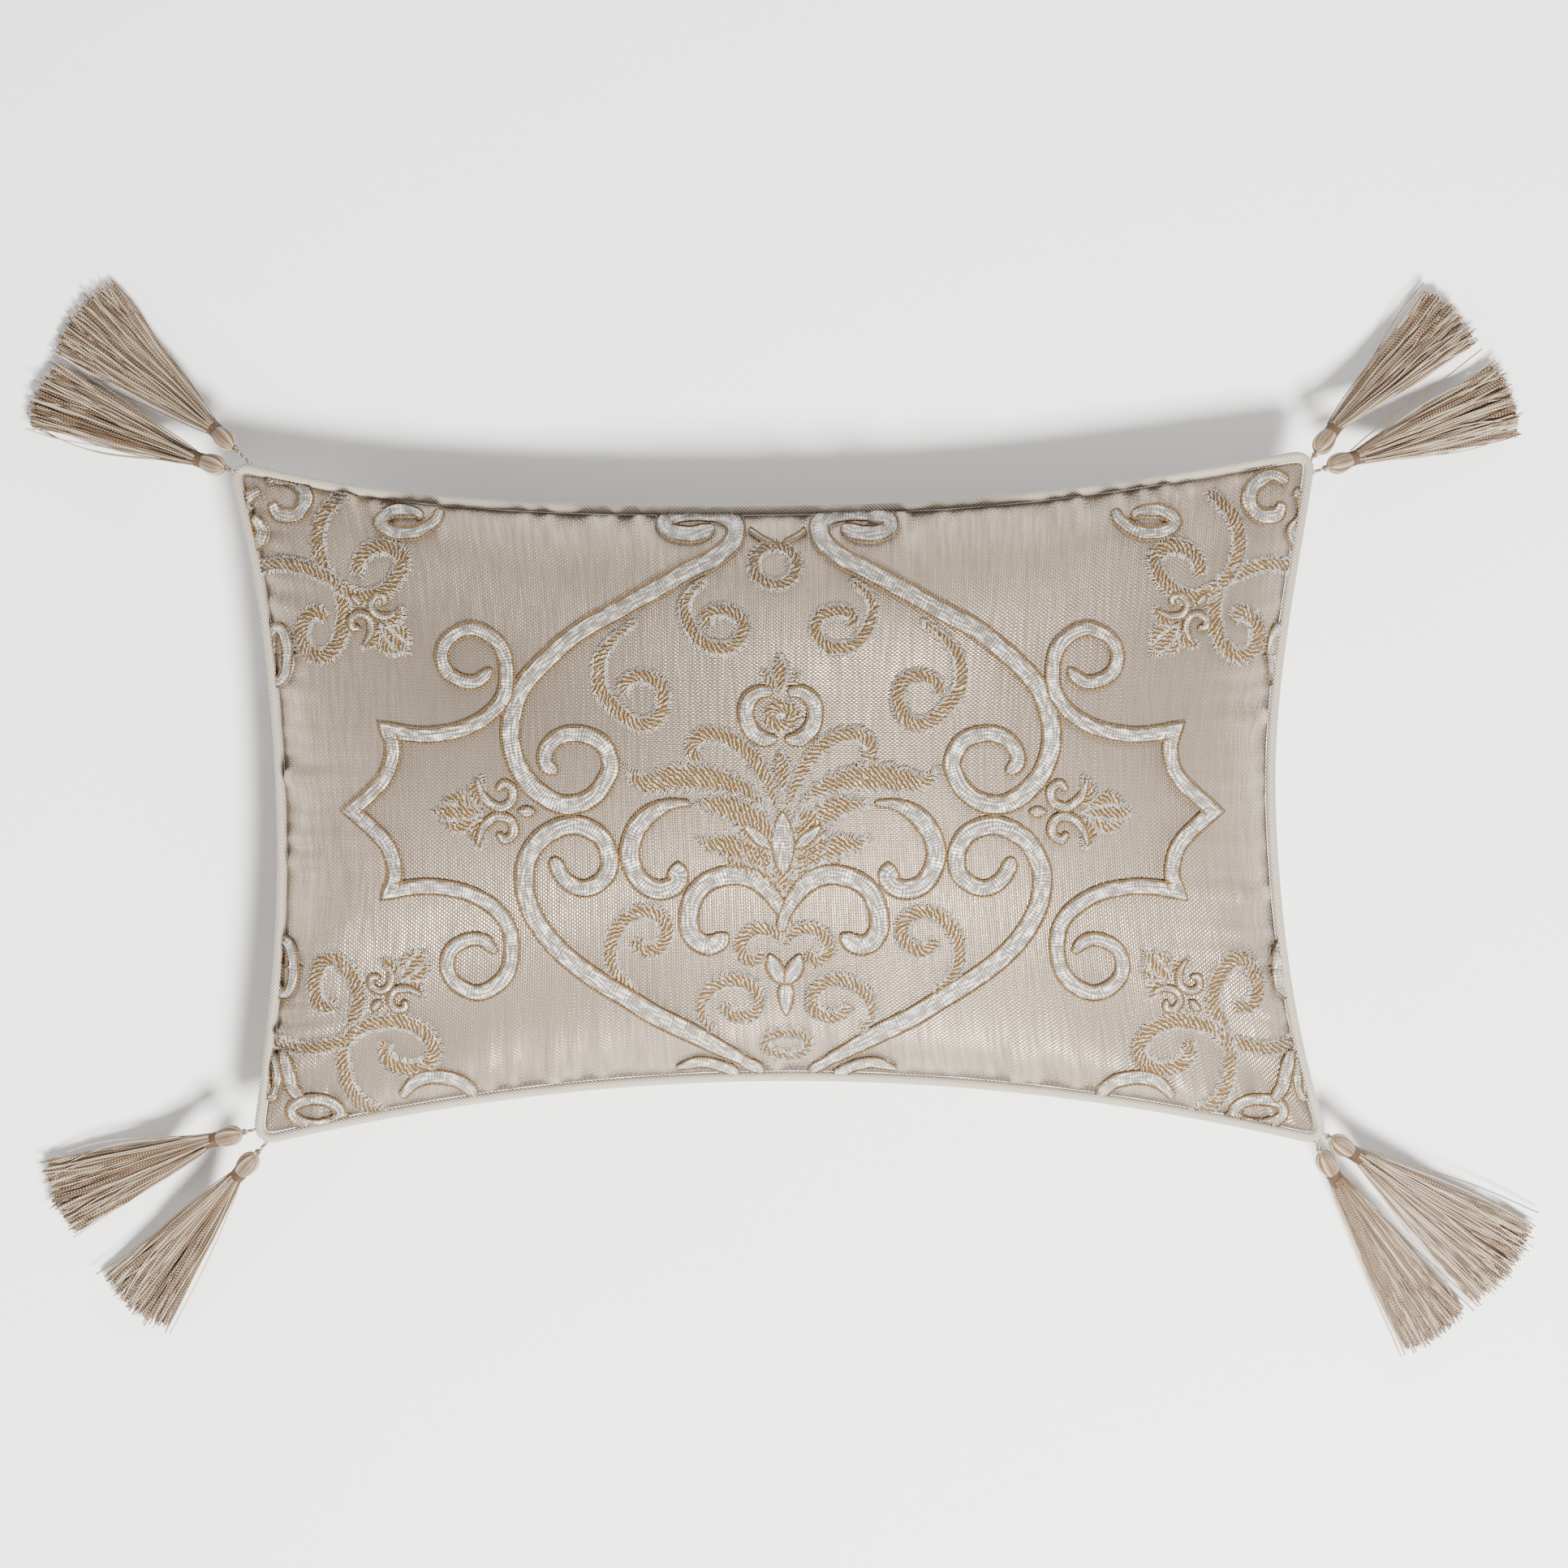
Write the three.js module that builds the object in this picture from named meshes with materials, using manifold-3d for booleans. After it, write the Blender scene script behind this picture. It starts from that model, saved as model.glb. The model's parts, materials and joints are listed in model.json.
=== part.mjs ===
// A stuffed lumbar throw pillow, lying on its back panel. A woven front panel and a plain back panel are
// sewn together round a piped seam. A separate insert, a thin shell round a fibre filling, goes in through
// a short concealed zip just under the bottom seam. Two tassels hang from the seam at each corner.
//
// Millimetres. +X runs along the pillow's length, +Y to its top edge, +Z up out of the front panel.
// The origin is the middle of the flat patch of the back panel that the pillow rests on.
import * as THREE from "three";
import Module from "manifold-3d";
import { mergeVertices } from "three/addons/utils/BufferGeometryUtils.js";

// ---- Driving dimensions ----
const LENGTH = 549; // between the corners of the stitched seam, along X
const WIDTH = 347; // between the corners of the stitched seam, along Y
const SEAM_HEIGHT = 56; // of the seam above the surface that the pillow lies on
const CORNER_DROOP = 8; // how much lower the seam lies at the corners
const CORNER_TRIM = 6; // of each side given up to round a corner
const FRONT_RISE = 84; // of the front panel's crown above the seam
const BACK_DROP = 64; // that the back panel would hang below the seam with nothing under it
const EDGE_FULLNESS = 0.58; // exponent of the panel's profile at the middle of a side; lower is fuller
const CORNER_FULLNESS = 0.9; // and at a corner, where the panels lie flatter
const PANEL_THICKNESS = 1;
const INSERT_INSET = 12; // from the cover's seam to the insert's
const INSERT_THICKNESS = 0.6;
const FILL_INSET = 1.2; // from the insert's seam to the filling
const PIPING_RADIUS = 2.6;
const LIP_WIDTH = 5; // of the flat tape on the piping that is caught in the seam
const LIP_THICKNESS = 0.8;
const GAP = 0.3; // between pieces that lie against each other

// How far each corner lies off the plain rectangle, as [x, y], and how each side is drawn in by the
// filling: its sag at the middle, and an exponent at each end, higher where the side turns in sooner.
const CORNERS = {
  topLeft: [-5.2, -4.6],
  bottomLeft: [7.4, 0],
  bottomRight: [2.7, 0],
  topRight: [-3.6, 1.2],
};
const SIDES = [
  { from: "topLeft", to: "bottomLeft", sag: 18.8, turn: [2.6, 1.7] },
  { from: "bottomLeft", to: "bottomRight", sag: 33.4, turn: [2, 2] },
  { from: "bottomRight", to: "topRight", sag: 24.5, turn: [2.4, 1.35] },
  { from: "topRight", to: "topLeft", sag: 26, turn: [1.9, 3] },
];

const ZIP = {
  halfLength: 150, // along the seam
  depth: 7.2, // of its middle line below the seam
  inset: 4.8, // of its tapes inside the stitched line
  lean: 25, // degrees that the tapes lean in under the pillow
  tape: [6, 6.6], // how far the upper tape reaches up, and the lower one down
  tapeThickness: 0.5,
  coil: 1.3, // side of one coil
  window: 3.3, // half height of the gap in the back panel
  sliderLength: 9,
  sliderWall: 0.8,
  pullLength: 14,
  pullWidth: 4.2,
  pullThickness: 0.9,
  pinRadius: 0.5,
  stopLength: 3,
};

// Each tassel: the corner it hangs at, its place along that corner's curve from 0 to 1, the length of its
// cord to the middle of the knot, the direction of its head, the two directions between which its skirt
// fans out, and how far the skirt reaches. Directions and the reach are as seen from above.
const TASSELS = [
  { corner: "topLeft", along: 0.13, cord: 12.2, heading: 137, fan: [128, 151], reach: 93 },
  { corner: "topLeft", along: 0.58, cord: 3.4, heading: 161, fan: [148, 166], reach: 90 },
  { corner: "bottomLeft", along: 0.24, cord: 6.8, heading: 196, fan: [190.5, 211.5], reach: 88 },
  { corner: "bottomLeft", along: 0.67, cord: 8.3, heading: 228, fan: [219.5, 241.5], reach: 87 },
  { corner: "bottomRight", along: 0.35, cord: 5.4, heading: 301, fan: [295, 313], reach: 98 },
  { corner: "bottomRight", along: 0.59, cord: 3.4, heading: 327, fan: [311.5, 335], reach: 101 },
  { corner: "topRight", along: 0.06, cord: 7.4, heading: 20, fan: [11, 31], reach: 87 },
  { corner: "topRight", along: 0.42, cord: 3.4, heading: 52, fan: [33, 53], reach: 87 },
];
const TASSEL = {
  slope: 30, // degrees that the cord and head slope down from the corner
  cordRadius: 0.9,
  knotRadius: 1.7,
  headRadius: 5.4,
  headLength: 14.5,
  bandRadius: 4.1,
  bandLength: 8,
  tipHalfThickness: 3.4,
  settle: 26, // distance in plan over which the skirt sinks on to the surface
};

// ---- Tessellation ----
const SIDE_STEPS = 12;
const CORNER_STEPS = 4;
const RINGS = [0.36, 0.6, 0.79, 0.915, 0.979, 1];
const CORD_SIDES = 8;

const wasm = await Module();
wasm.setup();

const rad = THREE.MathUtils.degToRad;
const up = new THREE.Vector3(0, 0, 1);

// ---- Colours, roughness and metalness of the finishes ----
const finish = (color, roughness, metalness = 0) =>
  new THREE.MeshStandardMaterial({ color, roughness, metalness });
const finishes = {
  faceCloth: finish(0xc9beb2, 0.45),
  backCloth: finish(0xcfc6ba, 0.6),
  piping: finish(0xe4dccd, 0.55),
  tape: finish(0xd8d0c4, 0.85),
  lining: finish(0xf1efea, 0.9),
  fibre: finish(0xf8f8f6, 1),
  coil: finish(0xd9d2c6, 0.5),
  slider: finish(0xb9ab96, 0.35, 0.8),
  cord: finish(0xbfae98, 0.5),
  yarn: finish(0xd3c6b4, 0.4),
  wrap: finish(0xa68a6a, 0.35),
};

const pillow = new THREE.Group();
function add(name, geometry, material) {
  const mesh = new THREE.Mesh(geometry, material);
  mesh.name = name;
  pillow.add(mesh);
  return mesh;
}

// ---- The stitched outline, anticlockwise seen from above ----
function cornerPoint(name) {
  const [dx, dy] = CORNERS[name];
  const x = name.endsWith("Left") ? -LENGTH / 2 : LENGTH / 2;
  const y = name.startsWith("top") ? WIDTH / 2 : -WIDTH / 2;
  return new THREE.Vector2(x + dx, y + dy);
}

function sidePoint(side, u) {
  const a = cornerPoint(side.from);
  const b = cornerPoint(side.to);
  const along = b.clone().sub(a).normalize();
  const inward = new THREE.Vector2(-along.y, along.x);
  const turn = THREE.MathUtils.lerp(side.turn[0], side.turn[1], u);
  const drawn = side.sag * (1 - Math.abs(2 * u - 1) ** turn);
  return a.lerp(b, u).addScaledVector(inward, drawn);
}

function sideLength(side) {
  return cornerPoint(side.from).distanceTo(cornerPoint(side.to));
}

// The rounding of the corner where a side begins.
function cornerCurve(index) {
  const before = SIDES[(index + SIDES.length - 1) % SIDES.length];
  const after = SIDES[index];
  return new THREE.QuadraticBezierCurve(
    sidePoint(before, 1 - CORNER_TRIM / sideLength(before)),
    cornerPoint(after.from),
    sidePoint(after, CORNER_TRIM / sideLength(after)),
  );
}

function stitchedOutline() {
  const points = [];
  SIDES.forEach((side, index) => {
    points.push(...cornerCurve(index).getPoints(CORNER_STEPS));
    const trim = CORNER_TRIM / sideLength(side);
    for (let k = 1; k < SIDE_STEPS; k++)
      points.push(sidePoint(side, THREE.MathUtils.lerp(trim, 1 - trim, k / SIDE_STEPS)));
  });
  return points;
}
const outline = stitchedOutline();

// The outline moved outwards by a distance.
function outlineAt(distance) {
  return outline.map((p, i) => {
    const before = outline[(i + outline.length - 1) % outline.length];
    const after = outline[(i + 1) % outline.length];
    const along = after.clone().sub(before).normalize();
    return new THREE.Vector2(p.x + along.y * distance, p.y - along.x * distance);
  });
}

// 0 at the middle of a side and 1 at a corner.
function cornerShare(x, y) {
  return Math.abs((4 * x * y) / (LENGTH * WIDTH));
}

function seamHeight(x, y) {
  return SEAM_HEIGHT - CORNER_DROOP * cornerShare(x, y) ** 4;
}

// ---- Cushion layers ----
// A point of one layer, inset from the stitched outline, and clear of the seam's plane by lift.
// side is 1 on the front and -1 on the back, which is flat where it rests. The rings of a layer turn
// from the outline at the rim into ovals round the crown.
function layerPoint(outlinePoint, ring, side, inset, depth, lift) {
  const oval = Math.hypot(outlinePoint.x / (LENGTH / 2), outlinePoint.y / (WIDTH / 2));
  const spread = ring * THREE.MathUtils.lerp(1 / oval, 1, ring ** 2);
  const x = outlinePoint.x * spread * (1 - inset / (LENGTH / 2));
  const y = outlinePoint.y * spread * (1 - inset / (WIDTH / 2));
  const corner = Math.min(1, cornerShare(outlinePoint.x, outlinePoint.y)) ** 4;
  const fullness = THREE.MathUtils.lerp(EDGE_FULLNESS, CORNER_FULLNESS, corner);
  const swell = (1 - ring * ring) ** fullness;
  const height = side > 0 ? FRONT_RISE : BACK_DROP;
  const z = seamHeight(x, y) + side * (lift + (height - depth - lift) * swell);
  return new THREE.Vector3(x, y, side > 0 ? z : Math.max(z, depth));
}

// Rings of one layer, from the middle point out to the rim.
function layerRings(side, inset, depth, lift) {
  const ringPoints = RINGS.map((ring) =>
    outline.map((p) => layerPoint(p, ring, side, inset, depth, lift)),
  );
  return { middle: layerPoint(outline[0], 0, side, inset, depth, lift), ringPoints };
}

// Triangles of a fan and the bands round it. Facing is 1 where the layer faces up.
function addLayer(positions, { middle, ringPoints }, facing) {
  const triangle = (a, b, c) => {
    for (const p of facing > 0 ? [a, b, c] : [a, c, b]) positions.push(p.x, p.y, p.z);
  };
  const count = ringPoints[0].length;
  for (let i = 0; i < count; i++) {
    const j = (i + 1) % count;
    triangle(middle, ringPoints[0][i], ringPoints[0][j]);
  }
  addBands(ringPoints, triangle);
}

function addBands(rings, triangle) {
  const count = rings[0].length;
  for (let r = 0; r + 1 < rings.length; r++)
    for (let i = 0; i < count; i++) {
      const j = (i + 1) % count;
      triangle(rings[r][i], rings[r + 1][i], rings[r + 1][j]);
      triangle(rings[r][i], rings[r + 1][j], rings[r][j]);
    }
}

function geometryFrom(positions) {
  return new THREE.BufferGeometry().setAttribute(
    "position",
    new THREE.BufferAttribute(new Float32Array(positions), 3),
  );
}

// A thin shell between two layers, closed by a flat rim at the seam.
function panelShell(side, inset, depth, thickness, lift) {
  const positions = [];
  const outer = layerRings(side, inset, depth, lift);
  const inner = layerRings(side, inset + thickness, depth + thickness, lift);
  addLayer(positions, outer, side);
  addLayer(positions, inner, -side);
  const rims = [outer.ringPoints.at(-1), inner.ringPoints.at(-1)];
  addBands(rims, (a, b, c) => {
    for (const p of side > 0 ? [a, b, c] : [a, c, b]) positions.push(p.x, p.y, p.z);
  });
  return geometryFrom(positions);
}

function fillingBody(inset, depth) {
  const positions = [];
  addLayer(positions, layerRings(1, inset, depth, 0), 1);
  addLayer(positions, layerRings(-1, inset, depth, 0), -1);
  return geometryFrom(positions);
}

// ---- Piping round the seam ----
// A closed bar of the section, with its middle line at a distance outside the stitched outline.
function closedBar(distance, section) {
  const rings = section.map(([out, height]) =>
    outlineAt(distance + out).map((p) => new THREE.Vector3(p.x, p.y, seamHeight(p.x, p.y) + height)),
  );
  rings.push(rings[0]);
  const positions = [];
  addBands(rings, (a, b, c) => positions.push(...a.toArray(), ...b.toArray(), ...c.toArray()));
  return geometryFrom(positions);
}

// Section points run so that the bar's faces point outwards.
function roundSection(radius, sides) {
  return Array.from({ length: sides }, (_, k) => {
    const angle = (-2 * Math.PI * (k + 0.5)) / sides;
    return [radius * Math.cos(angle), radius * Math.sin(angle)];
  });
}

function flatSection(width, thickness) {
  const [w, t] = [width / 2, thickness / 2];
  return [
    [w, t],
    [w, -t],
    [-w, -t],
    [-w, t],
  ];
}

// ---- Booleans ----
function toSolid(geometry) {
  const bare = geometry.index ? geometry.toNonIndexed() : geometry.clone();
  for (const name of ["normal", "uv"]) bare.deleteAttribute(name);
  const merged = mergeVertices(bare, 1e-3);
  return new wasm.Manifold(
    new wasm.Mesh({
      numProp: 3,
      vertProperties: merged.attributes.position.array,
      triVerts: new Uint32Array(merged.index.array),
    }),
  );
}

function toGeometry(solid) {
  const mesh = solid.getMesh();
  return new THREE.BufferGeometry()
    .setAttribute("position", new THREE.BufferAttribute(mesh.vertProperties, 3))
    .setIndex(new THREE.BufferAttribute(mesh.triVerts, 1));
}

// ---- Concealed zip, along the circle that the middle of the bottom seam follows ----
const bottomSide = SIDES[1];
const seamRadius = (sideLength(bottomSide) / 2) ** 2 / (2 * bottomSide.sag);
const seamMiddle = sidePoint(bottomSide, 0.5);
const zipCentre = new THREE.Vector2(seamMiddle.x, seamMiddle.y - seamRadius);

// A bar along the zip's circle. Its section is given across the zip as [up the tape, out of the tape],
// and it runs from one distance along the seam to another.
function zipBar(section, from, to, steps) {
  const lean = rad(ZIP.lean);
  const rings = [];
  for (let k = 0; k <= steps; k++) {
    const angle = THREE.MathUtils.lerp(from, to, k / steps) / seamRadius;
    rings.push(
      section.map(([rise, out]) => {
        const outward = rise * Math.sin(lean) + out * Math.cos(lean) - ZIP.inset;
        const height = rise * Math.cos(lean) - out * Math.sin(lean) - ZIP.depth;
        const r = seamRadius - outward;
        const x = zipCentre.x + r * Math.sin(angle);
        const y = zipCentre.y + r * Math.cos(angle);
        return new THREE.Vector3(x, y, SEAM_HEIGHT + height);
      }),
    );
  }
  return loft(rings);
}

// A closed body through a row of sections of the same number of points, with flat fans as its ends.
function loft(rings) {
  const positions = [];
  const push = (...points) => points.forEach((p) => positions.push(p.x, p.y, p.z));
  addBands(rings, push);
  const [first, last] = [rings[0], rings.at(-1)];
  for (let i = 1; i + 1 < first.length; i++) {
    push(first[0], first[i], first[i + 1]);
    push(last[0], last[i + 1], last[i]);
  }
  return geometryFrom(positions);
}

function box2d(rise0, rise1, out0, out1) {
  return [
    [rise0, out0],
    [rise0, out1],
    [rise1, out1],
    [rise1, out0],
  ];
}

function addZip() {
  const { halfLength, coil, tape, tapeThickness } = ZIP;
  const half = tapeThickness / 2;
  const steps = 12;
  const tapeEnd = halfLength + ZIP.stopLength + 5;
  const coilFoot = half + GAP;
  const middleGap = GAP / 2;
  const upperTape = box2d(middleGap, tape[0], -half, half);
  const lowerTape = box2d(-tape[1], -middleGap, -half, half);
  add("zip_tape_upper", zipBar(upperTape, -tapeEnd, tapeEnd, steps), finishes.tape);
  add("zip_tape_lower", zipBar(lowerTape, -tapeEnd, tapeEnd, steps), finishes.tape);
  const upper = box2d(middleGap, middleGap + coil, coilFoot, coilFoot + coil);
  const lower = upper.map(([rise, out]) => [-rise, out]).reverse();
  add("zip_coil_upper", zipBar(upper, -halfLength, halfLength, steps), finishes.coil);
  add("zip_coil_lower", zipBar(lower, -halfLength, halfLength, steps), finishes.coil);
  const stop = box2d(-coil, coil, coilFoot, coilFoot + coil);
  const stopStart = halfLength + GAP;
  const stopEnd = stopStart + ZIP.stopLength;
  add("zip_stop_left", zipBar(stop, -stopEnd, -stopStart, 1), finishes.slider);
  add("zip_stop_right", zipBar(stop, stopStart, stopEnd, 1), finishes.slider);
}

// The slider is a channel over both coils, with two ears and a pin for the pull.
const slider = {
  start: -ZIP.halfLength + 0.5,
  inner: ZIP.coil + GAP / 2 + GAP,
  roof: ZIP.tapeThickness / 2 + GAP + ZIP.coil + GAP,
};
slider.outer = slider.inner + ZIP.sliderWall;
slider.top = slider.roof + ZIP.sliderWall;
slider.pinHeight = slider.top + 1.8;
slider.middle = slider.start + ZIP.sliderLength / 2;

function addSlider() {
  const foot = ZIP.tapeThickness / 2 + GAP;
  const channel = [
    [-slider.outer, foot],
    [-slider.outer, slider.top],
    [slider.outer, slider.top],
    [slider.outer, foot],
    [slider.inner, foot],
    [slider.inner, slider.roof],
    [-slider.inner, slider.roof],
    [-slider.inner, foot],
  ];
  const end = slider.start + ZIP.sliderLength;
  let body = toSolid(channelBar(channel, slider.start, end));
  const earInside = 1.1 + GAP;
  const earThickness = 0.8;
  for (const sign of [-1, 1]) {
    const middle = slider.middle + sign * (earInside + earThickness / 2);
    const ear = box2d(-0.9, 0.9, slider.top - 0.2, slider.pinHeight + 0.9);
    const from = middle - earThickness / 2;
    body = body.add(toSolid(zipBar(ear, from, from + earThickness, 1)));
  }
  const pin = Array.from({ length: 8 }, (_, k) => {
    const angle = (2 * Math.PI * k) / 8;
    return [ZIP.pinRadius * Math.cos(angle), slider.pinHeight - ZIP.pinRadius * Math.sin(angle)];
  });
  const reach = earInside + 0.4;
  body = body.add(toSolid(zipBar(pin, slider.middle - reach, slider.middle + reach, 1)));
  add("zip_slider", toGeometry(body), finishes.slider);
}

// A U-shaped bar, made of three plain ones.
function channelBar(channel, from, to) {
  const [foot, top] = [channel[0][1], channel[1][1]];
  const legs = [
    box2d(-slider.outer, -slider.inner, foot, top),
    box2d(slider.inner, slider.outer, foot, top),
    box2d(-slider.outer, slider.outer, slider.roof, top),
  ];
  const bars = legs.map((leg) => toSolid(zipBar(leg, from, to, 1)));
  return toGeometry(bars[0].add(bars[1]).add(bars[2]));
}

// The place of the slider's pin, and the direction of the seam there.
function zipPin() {
  const angle = slider.middle / seamRadius;
  const lean = rad(ZIP.lean);
  const r = seamRadius - (slider.pinHeight * Math.cos(lean) - ZIP.inset);
  return {
    place: new THREE.Vector3(
      zipCentre.x + r * Math.sin(angle),
      zipCentre.y + r * Math.cos(angle),
      SEAM_HEIGHT - slider.pinHeight * Math.sin(lean) - ZIP.depth,
    ),
    along: new THREE.Vector3(Math.cos(angle), -Math.sin(angle), 0),
  };
}

// The pull is a thin tab that hangs straight down from the pin, through an eye at its top.
function addPull() {
  const { pullLength, pullWidth, pullThickness, pinRadius } = ZIP;
  const eye = 1.1;
  const neck = 1.1;
  const { place, along } = zipPin();
  const head = new THREE.Shape();
  head.absarc(0, 0, pinRadius + 0.25 + 0.7, 0, 2 * Math.PI);
  const hole = new THREE.Path();
  hole.absarc(0, 0, pinRadius + 0.25, 0, 2 * Math.PI, true);
  head.holes.push(hole);
  const wide = { depth: 2 * neck, bevelEnabled: false, curveSegments: 5 };
  const ring = new THREE.ExtrudeGeometry(head, wide);
  ring.translate(0, 0, -neck);
  ring.rotateY(Math.PI / 2);
  const tab = new THREE.Shape();
  const shoulder = -eye - 0.1;
  tab.moveTo(-neck, shoulder);
  tab.lineTo(-pullWidth / 2, shoulder - 3);
  tab.lineTo(-pullWidth / 2, -pullLength + 1);
  tab.lineTo(-pullWidth / 2 + 1, -pullLength);
  tab.lineTo(pullWidth / 2 - 1, -pullLength);
  tab.lineTo(pullWidth / 2, -pullLength + 1);
  tab.lineTo(pullWidth / 2, shoulder - 3);
  tab.lineTo(neck, shoulder);
  const plate = new THREE.ExtrudeGeometry(tab, { depth: pullThickness, bevelEnabled: false });
  plate.translate(0, 0, -pullThickness / 2);
  plate.rotateX(Math.PI / 2);
  const pull = toSolid(ring).add(toSolid(plate));
  const mesh = add("zip_pull", toGeometry(pull), finishes.slider);
  mesh.position.copy(place);
  mesh.rotation.z = Math.atan2(along.y, along.x);
}

// ---- Tassels ----
// A point in a tassel's own upright plane: along its heading, and down its slope.
function tasselFrame(tassel) {
  const index = SIDES.findIndex((side) => side.from === tassel.corner);
  const curve = cornerCurve(index);
  const root = curve.getPoint(tassel.along);
  const tangent = curve.getTangent(tassel.along);
  const stand = 2 * PIPING_RADIUS + 2 * GAP;
  const outward = new THREE.Vector3(tangent.y, -tangent.x, 0);
  const seam = new THREE.Vector3(root.x, root.y, seamHeight(root.x, root.y));
  const start = seam.addScaledVector(outward, stand);
  const flat = new THREE.Vector3(Math.cos(rad(tassel.heading)), Math.sin(rad(tassel.heading)), 0);
  const slope = rad(TASSEL.slope);
  const axis = flat.clone().multiplyScalar(Math.cos(slope)).addScaledVector(up, -Math.sin(slope));
  return { start, flat, axis };
}

// Turns a lathe's own +Y on to an axis, with its foot at a point.
function placeAlong(mesh, foot, axis) {
  mesh.quaternion.setFromUnitVectors(new THREE.Vector3(0, 1, 0), axis);
  mesh.position.copy(foot);
}

function latheProfile(points, segments) {
  return new THREE.LatheGeometry(
    points.map(([r, y]) => new THREE.Vector2(r, y)),
    segments,
  );
}

// The cord and its knot are one piece. Its foot is pointed, so that it can swing beside the piping.
function cordProfile(l) {
  const { cordRadius: r, knotRadius: k } = TASSEL;
  return [
    [0, 0],
    [r, r],
    [r, l - k],
    [k, l - 0.45 * k],
    [k, l + 0.45 * k],
    [0.6 * r, l + k],
    [0, l + k],
  ];
}

function headProfile() {
  const { headRadius: r, headLength: l, bandRadius: b } = TASSEL;
  const points = [[0, 0]];
  for (const share of [0.12, 0.3, 0.5, 0.72, 0.9, 1]) {
    const dome = share < 0.5 ? Math.sqrt(1 - (1 - 2 * share) ** 2) : 1;
    const waist = share < 0.5 ? 0 : (share - 0.5) * 2;
    points.push([THREE.MathUtils.lerp(r * dome, b - 0.2, waist ** 2), share * l]);
  }
  points.push([0, l]);
  return points;
}

function bandProfile() {
  const { bandRadius: b, bandLength: l } = TASSEL;
  return [
    [0, 0],
    [b, 0],
    [b - 0.25, l / 2],
    [b, l],
    [0, l],
  ];
}

// The skirt fans out between two directions while it sinks on to the surface and lies flat.
function skirtGeometry(tassel, mouth, mouthSlope) {
  const [from, to] = tassel.fan.map(rad);
  const half = (to - from) / 2;
  const middle = (from + to) / 2;
  const start = TASSEL.bandRadius / Math.sin(half);
  const outward = new THREE.Vector3(Math.cos(middle), Math.sin(middle), 0);
  const apex = mouth.clone().addScaledVector(outward, -start);
  const tip = TASSEL.tipHalfThickness;
  const rings = [0, 0.06, 0.16, 0.32, 0.55, 0.8, 1].map((share) => {
    const s = share * tassel.reach;
    const sink = Math.exp((-s * Math.tan(mouthSlope)) / (mouth.z - tip));
    const centre = tip + (mouth.z - tip) * sink;
    const thick = THREE.MathUtils.lerp(tip, TASSEL.bandRadius - 0.3, Math.exp(-s / TASSEL.settle));
    return Array.from({ length: 12 }, (_, k) => {
      const turn = (-2 * Math.PI * k) / 12;
      const angle = middle + half * Math.cos(turn) * 0.98;
      const reach = start + s;
      const lift = thick * Math.sin(turn);
      const lean = share === 0 ? -lift * Math.sin(mouthSlope) : 0;
      return new THREE.Vector3(
        apex.x + (reach - lean) * Math.cos(angle),
        apex.y + (reach - lean) * Math.sin(angle),
        Math.max(0, centre + lift),
      );
    });
  });
  return loft(rings);
}

function addTassel(tassel, number) {
  const { start, axis } = tasselFrame(tassel);
  const { knotRadius, headLength, bandLength } = TASSEL;
  const name = (piece) => `tassel_${number}_${piece}`;
  const at = (distance) => start.clone().addScaledVector(axis, distance);
  const knotEnd = tassel.cord + knotRadius + GAP;
  const headEnd = knotEnd + headLength + GAP;
  const bandEnd = headEnd + bandLength + GAP;
  const cord = latheProfile(cordProfile(tassel.cord), CORD_SIDES);
  placeAlong(add(name("cord"), cord, finishes.cord), start, axis);
  placeAlong(add(name("head"), latheProfile(headProfile(), 12), finishes.yarn), at(knotEnd), axis);
  placeAlong(add(name("band"), latheProfile(bandProfile(), 12), finishes.wrap), at(headEnd), axis);
  const mouth = at(bandEnd + 0.7);
  add(name("skirt"), skirtGeometry(tassel, mouth, rad(TASSEL.slope)), finishes.yarn);
}

// ---- Assembly ----
function addCover() {
  const lift = LIP_THICKNESS / 2 + GAP;
  add("front_panel", panelShell(1, 0, 0, PANEL_THICKNESS, lift), finishes.faceCloth);
  const slot = box2d(-ZIP.window, ZIP.window, 0.6, 9);
  const end = ZIP.halfLength + ZIP.stopLength + 1;
  const back = toSolid(panelShell(-1, 0, 0, PANEL_THICKNESS, lift));
  const window = toSolid(zipBar(slot, -end, end, 12));
  add("back_panel", toGeometry(back.subtract(window)), finishes.backCloth);
  const round = roundSection(PIPING_RADIUS, CORD_SIDES);
  add("piping_cord", closedBar(PIPING_RADIUS + GAP, round), finishes.piping);
  add("piping_lip", closedBar(-LIP_WIDTH / 2, flatSection(LIP_WIDTH, LIP_THICKNESS)), finishes.tape);
}

function addInsert() {
  const depth = PANEL_THICKNESS + GAP;
  add("insert_front", panelShell(1, INSERT_INSET, depth, INSERT_THICKNESS, GAP / 2), finishes.lining);
  add("insert_back", panelShell(-1, INSERT_INSET, depth, INSERT_THICKNESS, GAP / 2), finishes.lining);
  const fillDepth = depth + INSERT_THICKNESS + GAP;
  add("fibre_fill", fillingBody(INSERT_INSET + FILL_INSET, fillDepth), finishes.fibre);
}

addCover();
addInsert();
addZip();
addSlider();
addPull();
TASSELS.forEach((tassel, index) => addTassel(tassel, index + 1));

export default pillow;
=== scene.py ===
"""Looks of a tasselled lumbar throw pillow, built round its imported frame. Lengths are in metres."""

import json
import math

import bmesh
import bpy
import numpy as np
from bpy.props import FloatProperty, FloatVectorProperty, IntProperty, PointerProperty
from bpy.types import Operator, Panel, PropertyGroup
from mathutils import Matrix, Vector
from mathutils.bvhtree import BVHTree


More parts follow.
